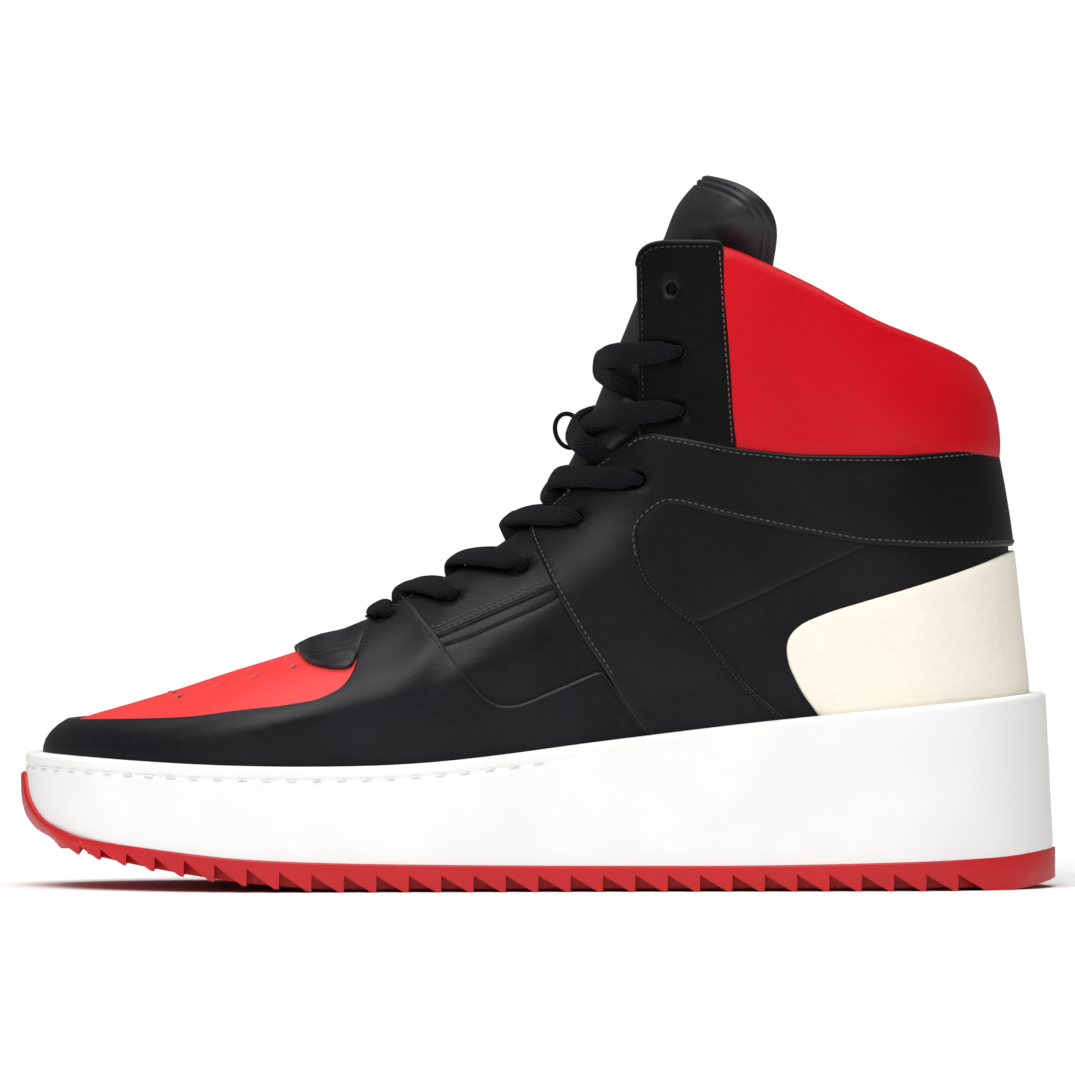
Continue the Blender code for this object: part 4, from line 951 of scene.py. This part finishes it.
def plain(name, color, per_mm, rough, bump=0.4, metallic=0.0, vary=0.12):
    look = Look(name)
    grain = look.noise(per_mm, 4.0, 0.6)
    tone = look.mix(look.span(grain, 0.3, 0.7, 0, 1), scaled(color, 1 - vary), scaled(color, 1 + vary))
    look.bump(grain, bump, 0.1)
    return look.done(tone, look.span(look.noise(per_mm / 3), 0.3, 0.7, *rough), Metallic=metallic)


def make_looks():
    black, red = (0.0062, 0.0062, 0.0088), (0.56, 0.0008, 0.0085)
    return {
        # Black leather with painted shade: its colour darkens towards the top of the shoe.
        "black_leather": leather("black_leather", black, (0.05, 0.05, 0.054), rough=(0.33, 0.46), vary=0.3,
                                 gloss=0.22, painted_shade_up=0.35),
        # Painted shade: the upper eyestays get a darker copy of the black leather, at 0.3 of its colour.
        "shaded_eyestay_leather": leather("shaded_eyestay_leather", scaled(black, 0.3), (0.04, 0.04, 0.044),
                                   rough=(0.33, 0.46), vary=0.3, gloss=0.12),
        "tongue_leather": leather("tongue_leather", (0.0105, 0.0105, 0.0135), (0.05, 0.05, 0.054),
                                  rough=(0.42, 0.52), vary=0.2, gloss=0.4),
        "red_leather": leather("red_leather", red, (0.5, 0.01, 0.012), rough=(0.36, 0.46), vary=0.06,
                               grain=0.25, gloss=0.2),
        # Painted light: the vamp gets a lighter red than the other red leather, standing for the top light on
        # it. Its higher gloss is its own.
        "top_lit_red_vamp": leather("top_lit_red_vamp", (0.8, 0.03, 0.03), (0.6, 0.02, 0.02), rough=(0.42, 0.55), vary=0.05,
                            grain=0.25, gloss=0.4),
        "cream_leather": leather("cream_leather", (0.93, 0.87, 0.76), (0.88, 0.8, 0.68), vary=0.03,
                                 grain=0.25, rough=(0.42, 0.55)),
        "white_rubber": rubber("white_rubber", (0.9, 0.9, 0.885), dirt=(0.8, 0.8, 0.79)),
        "red_rubber": rubber("red_rubber", (0.56, 0.012, 0.016), dirt=(0.44, 0.02, 0.02), vary=0.08),
        "lining": knit("lining", (0.022, 0.022, 0.025)),
        "insole": knit("insole", (0.03, 0.03, 0.033), per_mm=0.6),
        "lace": woven("lace", (0.0045, 0.0043, 0.0062)),
        "grey_thread": plain("grey_thread", (0.06, 0.06, 0.064), 2.0, (0.6, 0.75)),
        "dark_thread": plain("dark_thread", (0.016, 0.016, 0.019), 2.0, (0.6, 0.75)),
        "brown_thread": plain("brown_thread", (0.19, 0.05, 0.045), 2.0, (0.6, 0.75)),
        "sole_thread": plain("sole_thread", (0.8, 0.8, 0.8), 2.0, (0.6, 0.75)),
        "red_thread": plain("red_thread", (0.5, 0.03, 0.03), 2.0, (0.6, 0.75)),
        "aglet": plain("aglet", (0.02, 0.02, 0.02), 0.4, (0.2, 0.3), bump=0.1),
        "foam": plain("foam", (0.75, 0.73, 0.6), 1.6, (0.85, 0.95), bump=0.8),
        "eva": plain("eva", (0.8, 0.8, 0.78), 1.2, (0.75, 0.9)),
        "board": plain("board", (0.7, 0.66, 0.56), 0.8, (0.85, 0.95)),
        "steel": plain("steel", (0.5, 0.5, 0.52), 0.5, (0.25, 0.4), bump=0.1, metallic=1.0, vary=0.05),
    }


# ---- Lace ----
LACE_WIDTH, LACE_THICK, LACE_BOW = 6.8, 2.8, 4.2
GATHERED_WIDTH, GATHERED_THICK = 3.4, 2.9
LACE_OVER, LACE_UNDER = OVERLAY + 0.15 + LACE_THICK / 2, -LEATHER - 1.3 - LACE_THICK / 2
CROSS_LOW, CROSS_HIGH = 1.0, 3.6
CROSSING_STEPS, EDGE_CLEARANCE, RISE, BEND, BAR_RISE = 14, 2.9, 5.5, 1.5, 1.6
TAIL = [(43.5, 152.0, -4.2), (46.0, 143.0, -4.6), (45.0, 134.0, -5.0), (41.0, 126.0, -5.8),
        (36.0, 117.0, -6.3), (30.5, 108.0, -6.3)]


def place(s, z, offset):
    """One point on the surface and the normal there."""
    at = np.array([s]), np.array([z])
    normal = normal_at(*at)[0]
    return ring(*at)[0] + offset * normal, normal


def place_arc(arc, z, offset):
    return place(math.copysign(float(s_at_arcs(abs(arc), z)), arc), z, offset)


def eyelet(n, side):
    x, z = EYELETS[n]
    return float(s_at(x, z)) * side, z


def lace_crossing(n, side, high):
    s0, z0 = eyelet(n, side)
    s1, z1 = eyelet(n + 1, -side)
    arc0, arc1 = float(arc_at(abs(s0), z0)), -float(arc_at(abs(s1), z1))
    centre = CROSS_HIGH if high else CROSS_LOW
    out = []
    for k in range(1, CROSSING_STEPS):
        t = k / CROSSING_STEPS
        arc, z = arc0 + (arc1 - arc0) * t, z0 + (z1 - z0) * t + LACE_BOW * math.sin(math.pi * t)
        edge = float(through(THROAT_ARCS, z))
        if arc > 0:
            along = float(smooth_step((edge - EDGE_CLEARANCE - arc) / RISE))
            offset = LACE_UNDER + (centre - LACE_UNDER) * along
        else:
            rise = float(smooth_step((-arc - edge + EDGE_CLEARANCE + 2 * RISE) / RISE))
            offset = centre + (LACE_OVER - centre) * rise
        out.append((*place_arc(side * arc, z, offset), 1.0))
    return out


def lace_eyelet(n, side, above, below):
    s, z = eyelet(n, side)
    middle, normal = place(s, z, 0.0)
    out = []
    for target, level, turn in ((above, LACE_OVER, -BEND), (below, LACE_UNDER, BEND)):
        across = target - middle
        across = unit(across - (across @ normal) * normal)
        bend = [(middle + across * BEND + normal * level, normal, 0.35),
                (middle + across * BEND * 0.3 + normal * (level + turn * 0.3), normal, 0.1),
                (middle + normal * (level + turn), normal, 0.0)]
        out += bend if turn < 0 else bend[::-1]
    return out


def lace_strand(first_side):
    side = first_side
    s, z = eyelet(0, side)
    arc = float(arc_at(abs(s), z))
    route = []
    for t in (0.3, 0.6, 0.85):
        offset = CROSS_LOW + (LACE_OVER - CROSS_LOW) * float(smooth_step(t / 0.6))
        route.append((*place_arc(side * arc * t, z + BAR_RISE * (1 - t), offset), 1.0))
    for n in range(LACED):
        if n < LACED - 1:
            onward = lace_crossing(n, side, side == first_side and first_side > 0)
        else:
            onward = [(*place(float(s_at(x, z)) * side, z, offset), 0.2) for x, z, offset in TAIL]
        route += lace_eyelet(n, side, route[-1][0], onward[0][0]) + onward
        side = -side
    return route


def curved(points, steps=6):
    """A Catmull-Rom curve through the rows of an array."""
    p = np.asarray(points, float)
    p = np.concatenate([2 * p[:1] - p[1:2], p, 2 * p[-1:] - p[-2:-1]])
    out = []
    for a, b, c, d in zip(p, p[1:], p[2:], p[3:]):
        for t in np.arange(steps) / steps:
            out.append(0.5 * (2 * b + (c - a) * t + (2 * a - 5 * b + 4 * c - d) * t**2
                              + (3 * b - a - 3 * c + d) * t**3))
    return np.array(out + [p[-2]])


def strip(name, look, path, normals, width, thick, sides=14):
    """A flat cord swept along a path. It keeps its width direction through the bends."""
    tangent = unit(np.gradient(path, axis=0))
    across = np.cross(tangent, normals)
    strength = np.linalg.norm(across, axis=1)
    anchors = np.flatnonzero(strength > 0.75)
    vectors = [across[anchors[0]]]
    for i in anchors[1:]:
        vectors.append(across[i] if across[i] @ vectors[-1] > 0 else -across[i])
    vectors = unit(np.array(vectors))
    wide = between(np.arange(len(path)), anchors, vectors)
    wide = unit(wide - np.sum(wide * tangent, -1, keepdims=True) * tangent)
    up = np.cross(wide, tangent)
    walked = walk(path)
    angles = np.linspace(0, 2 * math.pi, sides, endpoint=False)
    c, s = np.cos(angles), np.sin(angles)
    flat_c, flat_s = np.sign(c) * np.abs(c) ** 0.85, np.sign(s) * np.abs(s) ** 0.7
    points = (path[:, None] + wide[:, None] * (flat_c[None] * width[:, None] / 2)[..., None]
              + up[:, None] * (flat_s[None] * thick[:, None] / 2)[..., None]).reshape(-1, 3)
    faces = [tuple(f[::-1]) for f in ring_faces(len(path), sides)]
    faces += [tuple(range(sides)), tuple(range(len(points) - 1, len(points) - sides - 1, -1))]
    obj = mesh_piece(name, points, faces, look)
    mark(obj, "along", np.repeat(walked, sides))
    mark(obj, "across", (flat_c[None] * width[:, None] / 2).reshape(-1))
    return obj, float(walked[-1])


def build_lace(look):
    first, second = lace_strand(1), lace_strand(-1)
    route = second[::-1] + first
    path = curved([p for p, _, _ in route])
    normals = unit(curved([n for _, n, _ in route]))
    spread = np.clip(curved([[w] for _, _, w in route])[:, 0], 0, 1)
    for _ in range(3):
        spread[1:-1] = (spread[:-2] + 2 * spread[1:-1] + spread[2:]) / 4
    width = GATHERED_WIDTH + (LACE_WIDTH - GATHERED_WIDTH) * spread
    thick = GATHERED_THICK + (LACE_THICK - GATHERED_THICK) * spread
    return strip("lace_flat", look, path, normals, width, thick)


def build_loop(look):
    """A small loop of thin cord that stands out between two crossings."""
    angles = np.linspace(0, 2 * math.pi, 40, endpoint=False)
    path = np.stack([9.0 - 3.8 * np.cos(angles) - 1.4 * np.sin(angles), -1.0 + 1.4 * np.sin(angles),
                     137.0 + 5.0 * np.sin(angles) - 1.0 * np.cos(angles)], -1)
    path = np.concatenate([path, path[:1]])
    normals = np.tile([0.0, -1.0, 0.0], (len(path), 1))
    return strip("lace_loop", look, path, normals, np.full(len(path), 1.4), np.full(len(path), 1.1), 8)[0]


# ---- Putting the shoe together ----
looks = make_looks()


def add(obj, body, slot, *nodes, fill=None):
    """Attaches a finished piece to its body and hides the CAD nodes that it stands for; the material slot it
    is given is not used.
    """
    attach(obj, body)
    if nodes:
        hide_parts(*nodes)
    return obj


def low_bottom(x):
    return float(through(LAST_BOTTOM, x)) + 3.0


def face(name, slot, loop, holes=(), layer=OVERLAY, look=None, **more):
    """A leather panel that stands for the CAD node of the same name."""
    obj = panel(name + "_leather", looks[look or slot], loop, layer, LEATHER, holes=holes, **more)
    return add(obj, SHOE, slot, name)


def eyelet_holes(numbers, side):
    return [circle_on(*eyelet(n, side), EYELET_RADIUS) for n in numbers]


VENT_ROWS, VENT_COLUMNS, VENT_START, VENT_PITCH, VENT_RADIUS = 5, 4, -111.0, 11.5, 0.72


def perforations():
    """Small round vents in fanned rows over the toe box."""
    holes = []
    for row in range(VENT_ROWS):
        for column in range(VENT_COLUMNS):
            spread = row - VENT_ROWS // 2
            x = VENT_START + VENT_PITCH * column + 1.6 * abs(spread)
            arc = abs(spread) * (9.2 + 1.0 * column)
            zs = np.arange(45.0, 90.0, 0.1)
            z = float(zs[np.argmax(through(RIDGE, zs) >= x)])
            s, walked, last = 0.0, 0.0, place(0.0, z, 0.0)[0]
            while walked < arc:
                z -= 0.1
                s = float(s_at(x, z))
                here = ring(np.array([s]), np.array([z]))[0]
                walked += float(np.linalg.norm(here - last))
                last = here
            holes.append(circle_on(math.copysign(s, spread) if spread else 0.0, z, VENT_RADIUS, 12))
    return holes


def build_vents(look, vents, near=-0.14, far=-1.2):
    """Dark lining seen down each vent, as short plugs that fill the holes from below."""
    points, faces = [], []
    for loop in vents:
        s, z = np.array(loop).T
        start, count = len(points), len(s)
        points += list(skin(s, z, near)) + list(skin(s, z, far))
        faces += [tuple(start + k for k in range(count)),
                  tuple(start + 2 * count - 1 - k for k in range(count))]
        faces += [(start + count + k, start + count + (k + 1) % count, start + (k + 1) % count, start + k)
                  for k in range(count)]
    return mesh_piece("vamp_vents", points, faces, look)


BOTH = ((1, "lateral"), (-1, "medial"))


def handed(outer, side):
    return outer if side > 0 else other_side(outer)[::-1]


TUCKED = 1.3
TUCKED_FIN = [(28.8, 107.0), (31.8, 113.0), (37.2, 117.6), (43.0, 117.2), (54.5, 114.2), (75.5, 109.6),
              (94.0, 106.0), (99.0, 103.4), (49.2, 80.6), (45.6, 80.0), (36.0, 86.6), (30.6, 93.6),
              (28.9, 101.0)]


def build_upper():
    # Base layer.
    vamp_rear = [(-64.0, 73.2), (-62.0, 70.5), (-55.0, 69.6), (-51.0, 68.0), (-46.0, 59.0), (-42.0, 50.0),
                 (-41.0, low_bottom(-41.0))]
    vamp = np.concatenate([[(0.0, 73.6)], on_ring(dense(vamp_rear)), sole_run(-42.0, -149.0), [(0.0, 34.0)]])
    vents = perforations()
    # The vamp takes the lighter red with painted top light.
    obj = panel("vamp_leather", looks["top_lit_red_vamp"], about_toe(vamp), 0.0, LEATHER, holes=vents, pitch=2.0)
    add(obj, SHOE, "red_leather", "vamp")
    add(build_vents(looks["lining"], vents), SHOE, "lining")
    for side, word in BOTH:
        front = np.concatenate([trace([(-53.5, 66.0), (-47.6, 59.9), (-46.5, low_bottom(-46.5))]),
                                sole_run(-46.0, 26.0), trace([(26.0, low_bottom(26.0)), (18.6, 76.0),
                                                              (12.5, 93.0)]),
                                trace([(12.5, 93.0), (3.0, 86.0), (-20.0, 76.0), (-44.0, 68.0),
                                       (-53.0, 66.5)])])
        face(f"side_panel_{word}", "black_leather", handed(front, side), layer=0.0)
        inner = np.concatenate([throat_run(77.0, 189.0), trace([(30.5, 189.0)], FACING_BACK[::-1])])
        obj = panel(f"eyelet_facing_{word}_leather", looks["black_leather"], handed(inner, side), 0.0,
                    LEATHER, holes=eyelet_holes(range(8), side))
        add(obj, SHOE, "lining", f"eyelet_facing_{word}")
        rear = np.concatenate([trace([(13.0, 93.3), (19.1, 76.1), (24.0, 66.0), (32.0, low_bottom(32.0))]),
                               sole_run(32.0, 149.0), [(0.992, 46.0), (0.992, 127.0)],
                               trace([(136.0, 127.0), (53.6, 127.0), (40.0, 113.0), (20.0, 100.0),
                                      (13.0, 93.3)])])
        face(f"rear_quarter_{word}", "black_leather", handed(rear, side), layer=0.0)
    # Overlays.
    guard = np.concatenate([[(0.0, 50.4)], trace(MUDGUARD_TOP), throat_run(80.5, 86.9),
                            trace(MUDGUARD_REAR, [(19.0, 66.0), (25.0, 57.0), (31.8, 46.5), (38.0, 38.0)]),
                            sole_run(38.0, -149.0), [(0.0, 34.0)]])
    guard = about_toe(guard)
    face("mudguard", "black_leather", guard, eyelet_holes([0], 1) + eyelet_holes([0], -1), pitch=2.0)
    upper = np.concatenate([throat_run(111.2, 135.8), trace(STRAP_TOP[::-1])[:-1]])
    lower = trace(STRAP_BOTTOM[::-1], [(31.0, 109.5)], SADDLE_REAR[::-1])
    upper, lower = (run[run[:, 0] < 0.999] for run in (upper, lower))
    strap = about_heel(np.concatenate([[(1.0, 102.3)], lower, sole_run(88.0, 39.0), trace(SADDLE_FRONT[::-1]),
                                       upper, [(1.0, 132.5)]]))
    face("saddle_strap", "black_leather", strap, eyelet_holes([3, 4], 1) + eyelet_holes([3, 4], -1),
         pitch=2.0)
    counter = trace(COUNTER_EDGE)
    counter = counter[counter[:, 0] < 0.999]
    counter = about_heel(np.concatenate([[(1.0, 101.0)], counter, sole_run(92.0, 149.0), [(1.0, 46.0)]]))
    face("heel_counter", "cream_leather", counter, pitch=2.0)
    tab = about_toe(np.concatenate([[(0.0, 70.5)], trace(TAB)[2:], [(0.0, 82.5)]])[::-1])
    obj = panel("throat_tab_leather", looks["black_leather"], tab, OVERLAY + 0.4, LEATHER + 0.4, edge=2.2,
                shape=lambda at, d: 0.5 * smooth_step(d / 6.0) - 0.6 * np.exp(-((d - 6.0) / 0.6) ** 2)
                - 2.0 * smooth_step((at[:, 0] + 68.0) / 12.0) * smooth_step((at[:, 2] - 69.0) / 4.0))
    add(obj, SHOE, "black_leather", "throat_tab")
    made = {"mudguard": guard, "saddle_strap": strap}
    for side, word in BOTH:
        low = np.concatenate([throat_run(87.6, 108.0), trace([(1.5, 110.0), (1.0, 105.6), (3.0, 100.5),
                                                              (7.6, 91.9), (-32.0, 74.2), (-36.8, 80.4),
                                                              (-41.0, 86.0)])])
        low = handed(low, side)
        face(f"lower_eyestay_{word}", "black_leather", low, eyelet_holes([1, 2], side), TUCKED, pitch=2.0)
        top = np.concatenate([throat_run(136.4, 186.0), trace([(29.7, 187.0), (30.6, 191.2), (33.6, 193.6),
                                                               (38.0, 194.4), (55.2, 194.4), (57.0, 165.0),
                                                               (59.4, 129.5), (45.5, 131.0), (35.0, 133.5),
                                                               (31.6, 135.0)])])
        top = handed(top, side)
        # The upper eyestays take the darker copy of black leather, which is painted shade.
        face(f"collar_eyestay_{word}", "black_leather", top, eyelet_holes([5, 6, 7], side), TUCKED,
             look="shaded_eyestay_leather", pitch=2.0)
        fin = handed(on_ring(eased(dense(TUCKED_FIN + TUCKED_FIN[:1]), 4)), side)
        face(f"side_fin_{word}", "black_leather", fin, layer=TUCKED, pitch=2.0)
        made.update({f"low_{side}": low, f"top_{side}": top})
    lining_top = trace([(-50.0, 75.0), (-44.0, 70.0), (-20.0, 78.0), (3.0, 88.0), (20.0, 102.0),
                        (38.0, 114.0), (54.0, 124.0), (134.0, 124.0)])
    inner = np.concatenate([[(0.0, 76.0)], lining_top, [(0.99, 124.0), (0.99, 46.0)], sole_run(149.0, -149.0),
                            [(0.0, 34.0)]])
    obj = panel("lining_knit", looks["lining"], about_toe(inner), -3.1, 1.2, pitch=4.0, sunk=0.0)
    add(obj, SHOE, "lining", "lining")
    return made


def build_stitches(made):
    grey, dark, brown = looks["grey_thread"], looks["dark_thread"], looks["brown_thread"]
    stitch_border(grey, made["saddle_strap"], OVERLAY, 1.5, lambda p: (p[:, 2] > 98) & (p[:, 0] > 27))
    stitch_border(grey, made["saddle_strap"], OVERLAY, 1.3,
                  lambda p: (p[:, 0] < 24) & (p[:, 2] > 64) & (p[:, 2] < 137))
    stitch_border(dark, made["saddle_strap"], OVERLAY, 1.1,
                  lambda p: (p[:, 2] < 104) & (p[:, 0] > 26) & (p[:, 2] > 52), pitch=1.5, length=1.0)
    stitch_border(dark, made["mudguard"], OVERLAY, 1.4, lambda p: (p[:, 0] > -55) & (p[:, 2] > 70))
    for side in (1, -1):
        for inset, thread in ((1.5, dark), (3.0, grey)):
            stitch_border(thread, made[f"low_{side}"], TUCKED, inset,
                          lambda p: ((p[:, 2] < 72.5 + 0.46 * (p[:, 0] + 32.0) + 6.5)
                                     & (p[:, 0] > -33) & (p[:, 0] < 1.5)))
        stitch_border(brown, made[f"top_{side}"], TUCKED, 1.3,
                      lambda p: (p[:, 0] > 50) & (p[:, 2] < 192) & (p[:, 2] > 133), pitch=1.7, length=1.15)
        stitch_border(dark, made[f"top_{side}"], TUCKED, 2.0,
                      lambda p: ((p[:, 0] <= 50) | (p[:, 2] >= 192)) & (p[:, 2] > 138))
    s = np.linspace(-0.52, 0.52, 600)
    x = sole_wall(s, np.full(600, 34.0))[:, 0]
    z = through(RIM_HEIGHT, x) - STITCH_DROP
    at = sole_wall(s, z)
    stitch(looks["sole_thread"], at, normal_at(s, z, SOLE_WALL), 7.4, 3.2, 0.24)
    for look, (points, faces) in THREADS.items():
        add(mesh_piece(f"stitches_{look.name}", points, faces, look), SHOE, "black_leather")


def finish_cad_looks():
    """The hidden layers that stay as they are get their materials too."""
    slots = {"toe_puff": "lining", "heel_stiffener": "board", "lasting_board": "board",
             "midsole_wedge": "eva", "shank": "steel", "aglet_lateral": "aglet", "aglet_medial": "aglet"}
    for name, slot in slots.items():
        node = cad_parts[name]
        for one in node.material_slots:
            one.material = looks[slot]


made = build_upper()
build_stitches(made)
add(build_cup(looks["white_rubber"]), SHOE, "white_rubber", "cupsole")
tread = tread_stations() + [(-145.0, 15.4), (-146.8, 16.6)]
add(build_outsole("outsole_red", looks["red_rubber"], tread, 0.0), SHOE, "red_rubber", "outsole")
core = [(x, float(tread_height(x)) + 0.7) for x in np.arange(150.0, -136.0, -3.0)]
add(build_outsole("outsole_core", looks["red_rubber"], core, 5.0), SHOE, "red_rubber")
add(build_bumper(looks["red_rubber"]), SHOE, "red_rubber")
add(build_collar(looks), SHOE, "red_leather", "collar", "collar_foam", "collar_lining", fill=0.8)
add(build_tongue(looks), TONGUE, "black_leather", "tongue_outer", "tongue_foam", "tongue_lining", fill=0.7)
add(build_insole(looks["insole"]), INSOLE, "insole", "insole", fill=0.9)
lace, lace_length = build_lace(looks["lace"])
add(lace, SHOE, "lace", "lace")
add(build_loop(looks["lace"]), SHOE, "lace")
finish_cad_looks()
print(f"lace length {lace_length:.0f} mm")


# ---- Floor, light and camera ----
def add_floor():
    mesh = bpy.data.meshes.new("floor")
    edge = [(1.1 * math.cos(a), 1.1 * math.sin(a), 0.0) for a in np.linspace(0, 2 * math.pi, 96,
                                                                             endpoint=False)]
    mesh.from_pydata(edge, [], [tuple(range(96))])
    floor = bpy.data.objects.new("floor", mesh)
    bpy.context.scene.collection.objects.link(floor)
    look = Look("floor")
    tone = look.mix(look.noise(0.01), (0.93, 0.93, 0.93), (0.96, 0.96, 0.96))
    mesh.materials.append(look.done(tone, look.span(look.noise(0.02), 0.3, 0.7, 0.75, 0.85),
                                    Specular_IOR_Level=0.0, Emission_Color=(1.0, 1.0, 1.0, 1.0)))
    split = look.node("ShaderNodeSeparateXYZ", {0: look.place}).outputs
    radius = look.math("SQRT", look.math("ADD", look.math("POWER", split[0], 2.0), look.math("POWER",
                                                                                             split[1], 2.0)))
    glow = look.span(radius, 0.3, 1.0, 0.0, 0.7)
    look.tree.links.new(glow, look.shader.inputs["Emission Strength"])


def add_light(name, at, toward, size, power):
    data = bpy.data.lights.new(name, "AREA")
    data.energy = power
    data.size = size
    light = bpy.data.objects.new(name, data)
    light.location = at
    light.rotation_euler = (Vector(toward) - Vector(at)).to_track_quat("-Z", "Y").to_euler()
    bpy.context.scene.collection.objects.link(light)


# Camera: millimetres for the lens and sensor, metres for the view, degrees for the tilt.
LENS, SENSOR = 600.0, 36.0
VIEW_WIDTH, VIEW_CENTRE, VIEW_TILT = 0.3225, (-0.0003, -0.012, 0.1051), 1.0


def add_camera():
    data = bpy.data.cameras.new("camera")
    data.lens, data.sensor_width = LENS, SENSOR
    camera = bpy.data.objects.new("camera", data)
    away, tilt = VIEW_WIDTH * LENS / SENSOR, math.radians(VIEW_TILT)
    x, y, z = VIEW_CENTRE
    camera.location = (x, y - away * math.cos(tilt), z + away * math.sin(tilt))
    camera.rotation_euler = (math.pi / 2 - tilt, 0.0, 0.0)
    bpy.context.scene.collection.objects.link(camera)
    bpy.context.scene.camera = camera


AMBIENT = 0.16


def add_world():
    world = bpy.data.worlds.new("studio")
    world.use_nodes = True
    tree = world.node_tree
    background = tree.nodes["Background"]
    background.inputs["Color"].default_value = (1.0, 1.0, 1.0, 1.0)
    background.inputs["Strength"].default_value = AMBIENT
    backdrop = tree.nodes.new("ShaderNodeBackground")
    backdrop.inputs["Color"].default_value = (1.0, 1.0, 1.0, 1.0)
    either = tree.nodes.new("ShaderNodeMixShader")
    seen = tree.nodes.new("ShaderNodeLightPath").outputs["Is Camera Ray"]
    tree.links.new(seen, either.inputs[0])
    tree.links.new(background.outputs[0], either.inputs[1])
    tree.links.new(backdrop.outputs[0], either.inputs[2])
    tree.links.new(either.outputs[0], tree.nodes["World Output"].inputs["Surface"])
    bpy.context.scene.world = world


add_floor()
add_world()
add_camera()
add_light("key", (-0.35, -1.0, 1.4), (0, 0, 0.1), 1.2, 21.0)
add_light("top", (0.1, 0.1, 2.0), (0, 0, 0.0), 2.4, 34.0)
bpy.context.scene.view_settings.view_transform = "Standard"
